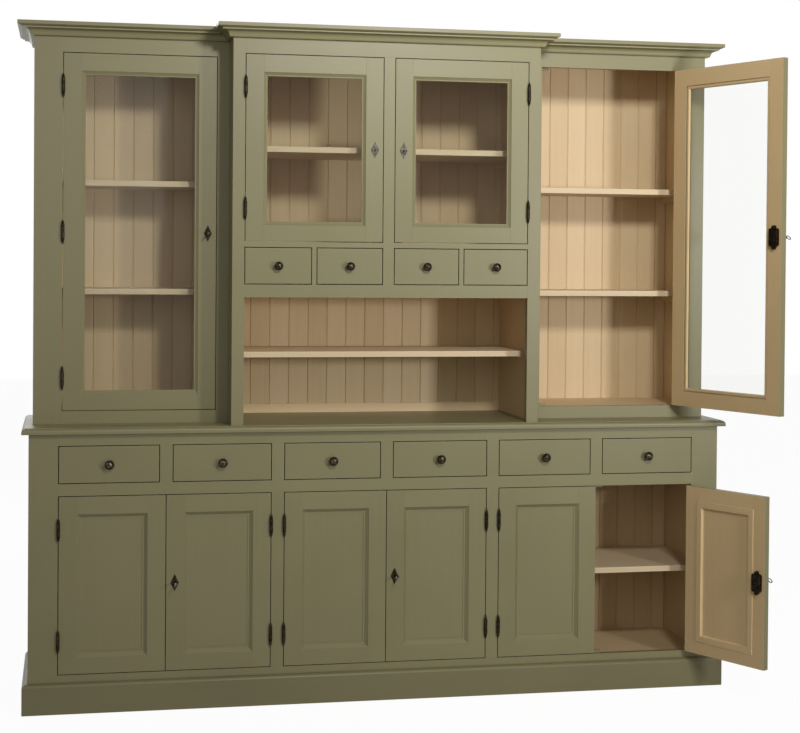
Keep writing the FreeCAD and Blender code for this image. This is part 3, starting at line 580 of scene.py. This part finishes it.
def turned(points, sides):
    """A piece turned on a lathe round the Z axis, from (radius, height) points. It is closed."""
    mesh = empty_mesh()
    rings = []
    for radius, height in points:
        count = sides if radius else 1
        angles = [math.tau * i / sides for i in range(count)]
        rings.append([mesh.verts.new((radius * math.cos(a), radius * math.sin(a), height)) for a in angles])
    for low, high in zip(rings[:-1], rings[1:]):
        for i in range(sides):
            j = (i + 1) % sides
            corners = [low[i % len(low)], low[j % len(low)], high[j % len(high)], high[i % len(high)]]
            mesh.faces.new(list(dict.fromkeys(corners)))
    for ring in (rings[0], rings[-1]):
        if len(ring) > 1:
            mesh.faces.new(ring)
    bmesh.ops.recalc_face_normals(mesh, faces=mesh.faces)
    mesh.normal_update()
    lay_grain(mesh, upward, Vector((1, 0, 0)), Vector(), 0)
    return mesh


def build_set_out():
    """A fitting set out at each place, turned and sized as the place says."""
    tree, given, made = new_tree("set_out", [
        ("Fitting", "Object"), ("Size", "Float"), ("Material", "Material")])
    fitting = add_node(tree, "GeometryNodeObjectInfo")
    points = add_node(tree, "GeometryNodeMeshToPoints")
    turn = add_node(tree, "GeometryNodeInputNamedAttribute", data_type="FLOAT_VECTOR")
    set_sockets(turn, Name="turn")
    place = add_node(tree, "GeometryNodeInstanceOnPoints")
    wire(tree, (given["Fitting"], fitting.inputs["Object"]), (given["Geometry"], points.inputs[0]),
         (points.outputs[0], place.inputs["Points"]), (fitting.outputs["Geometry"], place.inputs["Instance"]),
         (turn.outputs[0], place.inputs["Rotation"]), (given["Size"], place.inputs["Scale"]))
    return finish_tree(tree, place.outputs[0], given, made)


set_out = build_set_out()


def set_fittings(pattern, spots, material, size=1.0):
    """One fitting at many spots. A spot is a place and the fitting's turn there."""
    mesh = bpy.data.meshes.new("pattern")
    pattern.to_mesh(mesh)
    pattern.free()
    model = new_object("pattern", mesh)
    places = bpy.data.meshes.new("spots")
    places.from_pydata([place for place, _ in spots], [], [])
    turns = places.attributes.new("turn", "FLOAT_VECTOR", "POINT")
    turns.data.foreach_set("vector", [angle for _, turn in spots for angle in turn])
    made = run_tree(set_out, places, "fittings", {"Fitting": model, "Size": size, "Material": material})
    discard(model)
    for face in made.faces:
        face.material_index = 0
    return made


peg = turned([(peg_radius, 0), (peg_radius, peg_length - 0.001), (peg_radius - 0.001, peg_length)], 16)
peg_spots = [((side * peg_reach, depth, niche_shelf_under - peg_radius), (0, -side * math.pi / 2, 0))
             for side in (-1, 1) for depth in peg_depths]
supports = eased_boards("shelf_supports", 0.0012, keep=lambda middle: abs(middle.z - niche_shelf_under) > 0.02)
pour(supports, set_fittings(peg, peg_spots, cream_paint))
fix(finish_piece(supports, "cleats_and_pegs", cream_paint), "cupboard", "cream_paint", "shelf_supports")


# Runners, guides, kickers and stops carry the drawers. They are planed softwood, left
# bare and waxed, and screwed on behind the face frame.
bare_colours = ((0.560, 0.420, 0.250), (0.420, 0.290, 0.150), (0.660, 0.520, 0.340))
bare_wood = finished_wood("bare_wood", bare_colours, 0.6, sheen=0.3, streak=1.2, cloud=0.5, brush=0.4,
                          board=0.4, bump=0.4, rubbed=0.4)
fix_boards("drawer_runners", 0.0008, "runners", "bare_wood", bare_wood)


# The worktop: one slab glued up from wide boards, with a thumbnail moulding worked on
# its front and both ends, painted olive like the frame.
fix_boards("worktop", 0.0007, "worktop_slab", "olive_paint", olive_paint)


# The hutch: two glazed towers, set back, on both sides of a centre section that stands
# forward. Its sides, floors and tops are housed into each other behind a mortised face
# frame. The centre's sides are olive as far as the towers' frames, and cream behind.
hutch_side_middle = 1.120
centre_side_face = 0.507
lining_depth = -0.090
hutch_top = 2.170


def coat_hutch(middle, normal, place):
    """Cream inside the towers, the cupboard and the niche, and olive on what shows outside."""
    on_top = normal.z > 0.5 and place.z > hutch_top
    outside = abs(place.x) > hutch_side_middle or normal.y > 0.5 or on_top
    return_side = abs(middle.x) < centre_side_face < abs(place.x) and place.y < lining_depth
    return 0 if outside or return_side else 1


fix_boards("hutch_carcass", 0.001, "hutch_boards", "olive_paint", olive_paint, cream_paint,
           coat=coat_hutch, cut=lining_depth)
fix_boards("hutch_face_frames", 0.0004, "hutch_frames", "olive_paint", olive_paint, cream_paint,
           coat=coat_frame)


# The cornice: seven lengths of a moulding with a bead, a cove, a fillet and an ovolo,
# mitred round the breakfront, glued and pinned to the frame.
fix_boards("cornice", 0.0006, "cornice_lengths", "olive_paint", olive_paint)


# The drawers: an olive front on a box of bare softwood that is grooved for its bottom.
# Each has a turned knob of dark bronze on a small round plate, screwed from inside.
drawer_face = -0.220
drawer_front_back = -0.200
knob_radii = {"base": 0.015, "spice": 0.014}
knob_reach = 0.030
knob_rim = 0.0186


def metal(name, colour, worn_colour, roughness, bump):
    """Dark waxed metal, a little uneven from casting or forging, and paler where it is handled."""
    material, tree, shader = new_material(name)
    where = add_node(tree, "ShaderNodeTexCoord").outputs["Object"]
    worn = figure(tree, "ADD", speckle(tree, where, 120, 4), 0.5, True)
    rough = figure(tree, "ADD", figure(tree, "MULTIPLY", worn, 0.2), roughness - 0.1)
    wire(tree, (two_tones(tree, worn, (0.42, 0.72), (colour, worn_colour)), shader.inputs["Base Color"]),
         (rough, shader.inputs["Roughness"]))
    raise_surface(tree, shader, speckle(tree, where, 420, 3), bump, 0.0004)
    set_sockets(shader, Metallic=1)
    return material


bronze = metal("dark_bronze", (0.022, 0.016, 0.011), (0.110, 0.085, 0.062), 0.24, 0.3)


def turned_knob(radius):
    """The plate, a waisted neck, the cupped underside, and a low crown."""
    points = [(0, 0), (0.0095, 0), (0.0095, 0.0016), (0.0088, 0.0026), (0.0066, 0.0031)]
    points += [(radius * share, height) for share, height in (
        (0.40, 0.0036), (0.36, 0.0068), (0.39, 0.0108), (0.56, 0.0128), (0.82, 0.0138), (0.96, 0.0158))]
    points.append((radius, knob_rim))
    rise = knob_reach - knob_rim
    sphere = (radius * radius + rise * rise) / (2 * rise)
    full = math.asin(radius / sphere)
    for i in range(1, 8):
        angle = full * (8 - i) / 8
        points.append((sphere * math.sin(angle), knob_reach - sphere + sphere * math.cos(angle)))
    return turned(points + [(0, knob_reach)], 32)


def coat_drawer(middle, normal, place):
    """Only the front board is painted."""
    return 0 if middle.y < drawer_front_back else 1


for body in sorted(body for body in frame["bodies"] if "_drawer_" in body):
    boxed = eased_boards(body, 0.0012, coat_drawer, keep=lambda middle: middle.y > drawer_face - 0.0005)
    low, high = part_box(body)
    front = [face for face in boxed.faces if face.material_index == 0]
    heights = [v.co.z for face in front for v in face.verts]
    centre = ((low[0] + high[0]) / 2, drawer_face, (min(heights) + max(heights)) / 2)
    pull = set_fittings(turned_knob(knob_radii[body.split("_")[0]]), [(centre, (math.pi / 2, 0, 0))], bronze)
    for face in pull.faces:
        face.material_index = 2
    pour(boxed, pull)
    fix(finish_piece(boxed, body + "_box", olive_paint, bare_wood, bronze), body, "olive_paint", body)


# The doors: stiles and rails mortised round a flat panel, or round a pane in the four
# glazed ones. Mitred strips of moulding hold it from both sides. The front and all the
# edges are olive, and the back is cream. Two doors were left standing open.
door_thickness = 0.0215
door_gap = 0.0025
hinge_axis_ahead = 0.0059
keyhole_inset = 0.027
door_coats = ((0.700, 0.510, 0.275), (0.630, 0.448, 0.228), (0.820, 0.660, 0.430))
door_cream = finished_wood("door_cream", door_coats, 0.42, sheen=0.35, cloud=0.5, rubbed=0.6)
# Depths are behind a door's front: where the CAD's strips end, where its frame's middle
# lies, and where the panel and the pane are.
strip_depths = (0.0085, 0.0145)
frame_depths = (0.0085, 0.0111)
panel_front = 0.0125
panel_back = 0.015
glass_back = 0.013
# A strip's profile, front and back, in shares of its width inward and of its depth down.
strip_widths = {"panel": 0.017, "glass": 0.013}
strip_profiles = {
    "panel": ([(0, 0.06), (0.01, 0.14), (0.04, 0.18), (0.62, 1.43), (0.68, 1.47), (0.90, 1.48), (0.93, 1.49),
               (0.94, 1.57), (0, 1.57)],
              [(-0.58, 0.03), (-0.58, -0.34), (-0.53, -0.45), (-0.45, -0.50), (0.55, -0.50), (0.63, -0.45),
               (0.68, -0.20), (0.74, 0.20), (0.80, 0.52), (0.87, 0.66), (0.94, 0.70), (0.94, 1), (0, 1),
               (0, 0.03)]),
    "glass": ([(0, 0.05), (0.02, 0.14), (0.66, 0.84), (0.72, 0.88), (0.88, 0.88), (0.92, 0.91), (0.94, 1),
               (0, 1)],
              [(0, 0.62), (0.13, 0.62), (0.16, 0.22), (0.24, 0.16), (0.70, 0.16), (0.78, 0.24), (0.82, 0.50),
               (0.90, 0.56), (0.94, 1), (0, 1)])}


class Door:
    """A door as it hangs when shut, and the turn that opens it. Side -1 hangs on the left."""

    def __init__(self, name, left, right, low, high, front, side, hinges, locked, keyed, opened):
        self.name = name
        self.low, self.high, self.front, self.side = low + door_gap, high - door_gap, front, side
        self.hinges, self.locked, self.keyed = hinges, locked, keyed
        self.glazed = name + "_glass" in nodes
        self.hung, free = (right, left) if side > 0 else (left, right)
        self.axis = Vector((self.hung + side * door_gap / 2, front - hinge_axis_ahead, 0))
        self.key = Vector((free + side * keyhole_inset, front, (self.low + self.high) / 2))
        self.turn = (Matrix.Translation(self.axis) @ Matrix.Rotation(math.radians(side * opened), 4, "Z")
                     @ Matrix.Translation(-self.axis))
        self.unturn = self.turn.inverted()

    def coat(self, middle, normal, place):
        """Which coat a face has: everything behind the panel or the pane is cream."""
        shut_middle = (self.unturn @ middle).y - self.front
        behind = shut_middle > (glass_back if self.glazed else panel_back)
        faces_back = (self.unturn.to_3x3() @ normal).y > 0.5
        return 1 if behind or faces_back else 0


def hung_doors():
    """All ten doors, set out in metres as the face frames are."""
    front, tower_front = -0.220, -0.102
    bay, mullion, first_bay = 0.672667, 0.040, -1.049
    base_heights, tower_heights, centre_heights = (0.119, 0.6825), (0.9385, 2.0875), (1.4865, 2.0875)
    tower_edges, centre_edges = (0.546984, 1.040), (0.018, 0.468984)
    for number, (name, opened) in enumerate((("left_pair", 0), ("middle_pair", 0), ("right_pair", 117))):
        left = first_bay + number * (bay + mullion)
        middle = left + bay / 2
        yield Door(name + "_left", left + door_gap, middle - door_gap / 2, *base_heights, front, -1, 2,
                   False, False, 0)
        yield Door(name + "_right", middle + door_gap / 2, left + bay - door_gap, *base_heights, front, 1, 2,
                   True, True, opened)
    for name, side, opened in (("left_tower", -1, 0), ("right_tower", 1, 113)):
        edges = sorted((side * (tower_edges[0] + door_gap), side * (tower_edges[1] - door_gap)))
        yield Door(name, *edges, *tower_heights, tower_front, side, 3, True, True, opened)
    for name, side in (("left_centre", -1), ("right_centre", 1)):
        edges = sorted((side * (centre_edges[0] + door_gap), side * (centre_edges[1] - door_gap)))
        yield Door(name, *edges, *centre_heights, front, side, 2, True, False, 0)


def small_block(low, high, ease):
    """A bar or a thin board with eased edges."""
    block = empty_mesh()
    bmesh.ops.create_cube(block, size=1)
    for vert in block.verts:
        vert.co = Vector(tuple(a + (b - a) * (c + 0.5) for a, b, c in zip(low, high, vert.co)))
    bmesh.ops.bevel(block, geom=block.edges[:], offset=ease, segments=2, profile=0.5, affect="EDGES",
                    clamp_overlap=True)
    return block


def thin_panel(low, high):
    """The flat panel behind a door's front strips, set out from where the strips lie."""
    panel = small_block((low.x, low.y + panel_front, low.z), (high.x, low.y + panel_back, high.z), 0.0002)
    panel.normal_update()
    lay_grain(panel, upward, backward, low, 4)
    for face in panel.faces:
        face.material_index = 1 if face.normal.y > 0.5 else 0
    return panel


def skin_loops(mesh, loops):
    """Closes a row of loops of corners, and the last with the first, into one skin."""
    for one, other in zip(loops, loops[1:] + loops[:1]):
        for i, j in zip(range(len(one)), [*range(1, len(one)), 0]):
            mesh.faces.new((one[i], one[j], other[j], other[i]))
    bmesh.ops.recalc_face_normals(mesh, faces=mesh.faces)


def profiled_strips(node_name, door, behind):
    """Four mitred strips round the opening on one side of a door, in place of the plain
    CAD ones. On the front they slope steeply down to a narrow flat, and on the back of a
    panel they are a raised band that laps over the frame. The panel comes with the front."""
    spots, boards = split_boards(nodes[node_name].data)
    corners = []
    for triangles in boards:
        places = [door.unturn @ Vector(spots[i]) for i in sorted({i for t in triangles for i in t})]
        depth = sum(place.y for place in places) / len(places) - door.front
        if (depth > strip_depths[1]) if behind else (depth < strip_depths[0]):
            corners += places
    low, high = (Vector(tuple(end(place[i] for place in corners) for i in range(3))) for end in (min, max))
    kind = "glass" if door.glazed else "panel"
    strips = empty_mesh()
    loops = []
    for across, down in strip_profiles[kind][behind]:
        inward, depth = across * strip_widths[kind], down * (high.y - low.y)
        y = high.y - depth if behind else low.y + depth
        left, right, foot, head = low.x + inward, high.x - inward, low.z + inward, high.z - inward
        loops.append([strips.verts.new(place) for place in (
            (left, y, foot), (right, y, foot), (right, y, head), (left, y, head))])
    skin_loops(strips, loops)
    strips.normal_update()
    lay_grain(strips, upward, backward, low, 3)
    for face in strips.faces:
        face.material_index = 1 if behind else 0
    if not behind and not door.glazed:
        pour(strips, thin_panel(low, high))
    bmesh.ops.transform(strips, matrix=door.turn, verts=strips.verts)
    return strips


doors = list(hung_doors())
for door in doors:
    body = door.name + "_door"
    woodwork = eased_boards(body, 0.0004, door.coat, keep=lambda middle:
                            frame_depths[0] < (door.unturn @ middle).y - door.front < frame_depths[1])
    for behind in (False, True):
        pour(woodwork, profiled_strips(body, door, behind))
    fix(finish_piece(woodwork, body + "_woodwork", olive_paint, door_cream, crisp=18),
        body, "olive_paint", body)


# The glass: old drawn panes, 4 mm thick and a little wavy, bedded between the front
# moulding and the bead behind it.
def mix_surface(tree, share, first, second, end="Material Output"):
    """Ends a tree in a first shader and a share of a second."""
    mix = add_node(tree, "ShaderNodeMixShader")
    wire(tree, (share, mix.inputs[0]), (first.outputs[0], mix.inputs[1]), (second.outputs[0], mix.inputs[2]),
         (mix.outputs[0], tree.nodes[end].inputs["Surface"]))


def build_pane_glass():
    """Clear to a view and to a mirror image, and plainly transparent to the light that falls in."""
    material, tree, shader = new_material("pane_glass")
    set_sockets(shader, Base_Color=(0.96, 0.97, 0.95, 1), Transmission_Weight=1, IOR=1.2)
    where = add_node(tree, "ShaderNodeTexCoord").outputs["Object"]
    waves = speckle(tree, where, 5, 2, (1, 1, 0.35))
    smear = figure(tree, "ADD", figure(tree, "MULTIPLY", speckle(tree, where, 9, 3), 0.05), 0.03, True)
    raise_surface(tree, shader, waves, 0.25, 0.001)
    clear = add_node(tree, "ShaderNodeBsdfTransparent")
    set_sockets(clear, Color=(0.85, 0.86, 0.84, 1))
    path = add_node(tree, "ShaderNodeLightPath")
    lets_by = figure(tree, "MAXIMUM", path.outputs["Is Shadow Ray"], path.outputs["Is Diffuse Ray"])
    wire(tree, (smear, shader.inputs["Roughness"]))
    mix_surface(tree, lets_by, shader, clear)
    return material


pane_glass = build_pane_glass()
for door in (door for door in doors if door.glazed):
    pane = nodes[door.name + "_glass"]
    pane.data.materials.clear()
    pane.data.materials.append(pane_glass)


# The hinges: forged lift-off hinges that stand in front of the gap. The lower half, with
# the pin, is let into the frame, and the upper half, on the door's edge, drops over it.
# Both end in a turned finial. The iron is blacked and waxed.
iron = metal("blacked_iron", (0.013, 0.009, 0.005), (0.044, 0.034, 0.024), 0.36, 0.4)
# A paler copy of the iron for the plates of doors with no key: a painted reflection of glare.
rubbed_iron = metal("rubbed_iron", (0.040, 0.035, 0.029), (0.105, 0.094, 0.080), 0.34, 0.3)
hinge_inset = 0.104
barrel_half = 0.023
barrel_radius = 0.0055
leaf_thickness = 0.001
leaf_reach = 0.0229
knuckle_gap = 0.0004
finial = [(0.0055, 0.0208), (0.0049, 0.0214), (0.0049, 0.0219), (0.0056, 0.0224), (0.0055, 0.0236),
          (0.0036, 0.0247), (0.0031, 0.0256), (0.0041, 0.0270), (0.0047, 0.0288), (0.0043, 0.0306),
          (0.0030, 0.0327), (0.0019, 0.0353), (0.0011, 0.0385), (0, 0.0410)]


def hinge_half(upper):
    """A half's barrel and finial, the lower one with its pin and the upper one bored for it."""
    if upper:
        return turned([(0, 0.0166), (0.0026, 0.0166), (0.0026, knuckle_gap), (0.0050, knuckle_gap),
                       (barrel_radius, 0.0010)] + finial, 20)
    points = [(0, 0.0158), (0.0018, 0.0158), (0.0025, 0.0150), (0.0025, 0), (0.0050, 0),
              (barrel_radius, -0.0006)]
    return turned(points + [(radius, -height) for radius, height in finial], 20)


def hinge_spots(door):
    """Where a door's hinges part, evenly spaced between its lowest and its highest."""
    first, last = door.low + hinge_inset, door.high - hinge_inset
    return [Vector((door.axis.x, door.axis.y, first + (last - first) * i / (door.hinges - 1)))
            for i in range(door.hinges)]


def hinge_halves(door, upper):
    """All the halves of one kind on a door, each with its leaf in the gap."""
    spots = hinge_spots(door)
    halves = set_fittings(hinge_half(upper), [(spot, (0, 0, 0)) for spot in spots], iron)
    edge = door.hung if upper else door.hung + door.side * door_gap
    away = edge + (door.side if upper else -door.side) * leaf_thickness
    low, high = (knuckle_gap, barrel_half) if upper else (-barrel_half, 0)
    for spot in spots:
        leaf = small_block((min(edge, away), spot.y, spot.z + low),
                           (max(edge, away), spot.y + leaf_reach, spot.z + high), 0.0002)
        pour(halves, leaf)
    return halves


frame_halves = empty_mesh()
for door in doors:
    pour(frame_halves, hinge_halves(door, False))
fix(finish_piece(frame_halves, "hinge_lower_halves", iron), "cupboard", "ironware", "hinge_frame_halves")


# Each locked door has a lozenge plate of sheet iron pinned round the keyhole, and behind
# the stile a rim lock, a hollow case screwed on by its two lugs. A flat bolt slides in it.
# Where no key stays in the lock the plate is painted paler, as a painted reflection of glare.
plate_thickness = 0.0016
lock_depth = 0.012
pin_offset = 0.0205
lug_offset = 0.0335
pin_radius = 0.0013
screw_radius = 0.0026
pin_head = [(1.0, -0.1), (0.92, 0.3), (0.55, 0.6), (0, 0.7)]


def slotted_head():
    """A round screw head of radius 1 with a slot across it."""
    head = turned([(1.0, -0.2), (1.0, 0.12), (0.86, 0.34), (0.60, 0.46)], 16)
    top = max(head.faces, key=lambda face: face.calc_center_median().z)
    edges = list(top.edges)
    verts = list(top.verts)
    for side in (-1, 1):
        cut = bmesh.ops.bisect_plane(head, geom=verts + edges + [f for f in head.faces if f.normal.z > 0.99],
                                     plane_co=(side * 0.12, 0, 0), plane_no=(1, 0, 0))
        verts = [v for v in head.verts if v.co.z > 0.45]
        edges = [e for e in head.edges if all(v.co.z > 0.45 for v in e.verts)]
    strip = min((f for f in head.faces if f.normal.z > 0.99), key=lambda f: abs(f.calc_center_median().x))
    sunk = bmesh.ops.extrude_face_region(head, geom=[strip])
    for item in sunk["geom"]:
        if isinstance(item, bmesh.types.BMVert):
            item.co.z -= 0.26
    bmesh.ops.delete(head, geom=[strip], context="FACES_KEEP_BOUNDARY")
    bmesh.ops.recalc_face_normals(head, faces=head.faces)
    return head


for door in doors:
    body = door.name + "_door"
    ironwork = hinge_halves(door, True)
    if door.locked:
        pins = [(door.key + Vector((0, -plate_thickness, offset)), (math.pi / 2, 0, 0))
                for offset in (-pin_offset, pin_offset)]
        pour(ironwork, set_fittings(turned(pin_head, 12), pins, iron, pin_radius))
        screws = [(door.key + Vector((0, door_thickness + lock_depth, offset)), (-math.pi / 2, 0, 0.6 * offset))
                  for offset in (-lug_offset, lug_offset)]
        pour(ironwork, set_fittings(slotted_head(), screws, iron, screw_radius))
    bmesh.ops.transform(ironwork, matrix=door.turn, verts=ironwork.verts)
    if door.locked:
        case = eased_boards(body + "_ironware", 0.0004,
                            keep=lambda middle: abs((door.unturn @ middle).x - door.hung) > 0.05)
        # The front of the plate on a door with no key gets the paler iron, as a painted reflection of glare.
        for face in case.faces:
            ahead = (door.unturn @ face.calc_center_median()).y < door.front + 0.0001
            face.material_index = 1 if ahead and not door.keyed else 0
        pour(ironwork, case)
        fix(finish_piece(eased_boards(body + "_bolt", 0.0003), door.name + "_bolt_plate", iron),
            door.name + "_bolt", "ironware", body + "_bolt")
    fix(finish_piece(ironwork, body + "_ironwork", iron, rubbed_iron), body, "ironware", body + "_ironware")


# The keys: forged iron with a ring bow, a turned collar and a plain bit, left in the
# locks that have one, with the bow at an easy slant.
key_steel = metal("key_iron", (0.060, 0.050, 0.040), (0.240, 0.215, 0.185), 0.22, 0.2)
key_reach = 0.050
bow_radius = 0.0095
bow_half_width = 0.00175
bow_half_thickness = 0.0015
bit_front = 0.0273
bit_back = 0.0303
bit_drop = 0.007
bit_half_width = 0.001
shank = [(0, 0), (0.0019, 0), (0.0021, 0.0010), (0.0021, 0.0022), (0.0033, 0.0028), (0.0036, 0.0039),
         (0.0033, 0.0050), (0.0022, 0.0056), (0.0021, 0.0064), (0.0028, 0.0071), (0.0021, 0.0078)]


def key_ring():
    """The ring bow, a torus of oval section round the Z axis."""
    ring = empty_mesh()
    middle = bow_radius - bow_half_width
    loops = []
    for a in (math.tau * i / 28 for i in range(28)):
        loops.append([])
        for b in (math.tau * j / 10 for j in range(10)):
            reach = middle + bow_half_width * math.cos(b)
            loops[-1].append(ring.verts.new((reach * math.cos(a), reach * math.sin(a),
                                             bow_half_thickness * math.sin(b))))
    skin_loops(ring, loops)
    return ring


for door in (door for door in doors if door.keyed):
    bow_centre = door.key - Vector((0, key_reach - bow_radius, 0))
    key = key_ring()
    bmesh.ops.transform(key, matrix=Matrix.Translation(bow_centre) @ Matrix.Rotation(-math.pi / 4, 4, "Y"),
                        verts=key.verts)
    start = bow_centre.y + bow_radius - 2 * bow_half_width
    length = door.front + bit_back - start
    stem = turned(shank + [(0.0021, length - 0.0008), (0.0015, length), (0, length)], 16)
    bmesh.ops.transform(stem, matrix=Matrix.Translation((door.key.x, start, door.key.z))
                        @ Matrix.Rotation(-math.pi / 2, 4, "X"), verts=stem.verts)
    pour(key, stem)
    pour(key, small_block((door.key.x - bit_half_width, door.front + bit_front, door.key.z - bit_drop),
                          (door.key.x + bit_half_width, door.front + bit_back, door.key.z), 0.0002))
    bmesh.ops.transform(key, matrix=door.turn, verts=key.verts)
    bmesh.ops.recalc_face_normals(key, faces=key.faces)
    fix(finish_piece(key, door.name + "_key_iron", key_steel), door.name + "_key", "ironware",
        door.name + "_door_key")


# The studio: a plain pale floor that keeps the cupboard's shadow, and a white backdrop
# that the camera, the metal and the glass see.
floor_reach = 14
floor_glow = 1.12
floor_glow_share = 0.85
air_light = 0.12


def plainly_seen(tree):
    """1 for what the camera sees, straight on, in a mirror image or through glass."""
    path = add_node(tree, "ShaderNodeLightPath")
    return figure(tree, "MAXIMUM", path.outputs["Is Camera Ray"],
                  figure(tree, "MAXIMUM", path.outputs["Is Glossy Ray"], path.outputs["Is Transmission Ray"]))


def build_floor():
    """A pale matt sheet that looks almost white, so that only the shadow shows on it."""
    mesh = bpy.data.meshes.new("floor")
    corners = [(x * floor_reach, y * floor_reach, 0) for x, y in ((-1, -1), (1, -1), (1, 1), (-1, 1))]
    mesh.from_pydata(corners, [], [(0, 1, 2, 3)])
    floor = new_object("floor", mesh)
    material, tree, shader = new_material("pale_floor")
    set_sockets(shader, Base_Color=(0.45, 0.45, 0.45, 1), Roughness=0.9)
    glow = add_node(tree, "ShaderNodeEmission")
    set_sockets(glow, Color=(1, 1, 1, 1), Strength=floor_glow)
    mix_surface(tree, figure(tree, "MULTIPLY", plainly_seen(tree), floor_glow_share), shader, glow)
    mesh.materials.append(material)


def build_backdrop():
    """White to a view, and a weak even light to everything else."""
    world = bpy.data.worlds.new("studio")
    scene.world = world
    world.use_nodes = True
    tree = world.node_tree
    air, white = tree.nodes["Background"], add_node(tree, "ShaderNodeBackground")
    set_sockets(air, Color=(1, 1, 1, 1), Strength=air_light)
    set_sockets(white, Color=(1, 1, 1, 1), Strength=1)
    mix_surface(tree, plainly_seen(tree), air, white, "World Output")


build_floor()
build_backdrop()


# A soft lamp high in front of the right half, a second at mid height further right, a
# wide weak one on the left for the shadows, and another behind for the back.
def soft_lamp(name, place, target, size, spread, power):
    """A white square lamp of a size in metres, a spread in degrees and a power in watts."""
    data = bpy.data.lights.new(name, "AREA")
    data.shape = "SQUARE"
    data.size = size
    data.spread = math.radians(spread)
    data.energy = power
    lamp = new_object(name, data)
    lamp.location = place
    lamp.rotation_euler = (Vector(target) - Vector(place)).to_track_quat("-Z", "Y").to_euler()


soft_lamp("upper", (0.50, -3.30, 2.95), (0.5, 0, 2.6), 0.40, 115, 31)
soft_lamp("side", (2.30, -3.80, 1.50), (0.6, 0, 1.9), 0.38, 140, 36)
soft_lamp("fill", (-1.40, -4.60, 2.20), (0, 0, 1.6), 2.0, 180, 20)
soft_lamp("rear_lamp", (-1.60, 4.40, 3.00), (0, 0.2, 1.2), 2.0, 180, 30)


# The camera stands in front of the left end, where the photograph was taken from, with
# its frame shifted down.
camera_data = bpy.data.cameras.new("camera")
camera = new_object("camera", camera_data)
scene.camera = camera
camera_data.sensor_width = 36
camera_data.lens = 73.121
camera_data.shift_x = 0.01474
camera_data.shift_y = -0.10378
camera.location = (-1.01861, -5.40173, 1.43286)
yaw, pitch, roll = (math.radians(angle) for angle in (11.11711, -0.84812, 0.449))
ahead = Vector((math.sin(yaw) * math.cos(pitch), math.cos(yaw) * math.cos(pitch), math.sin(pitch)))
right = ahead.cross(upward).normalized()
up = right.cross(ahead)
level = Matrix((right * math.cos(roll) + up * math.sin(roll), up * math.cos(roll) - right * math.sin(roll),
                -ahead))
camera.rotation_euler = level.transposed().to_euler()
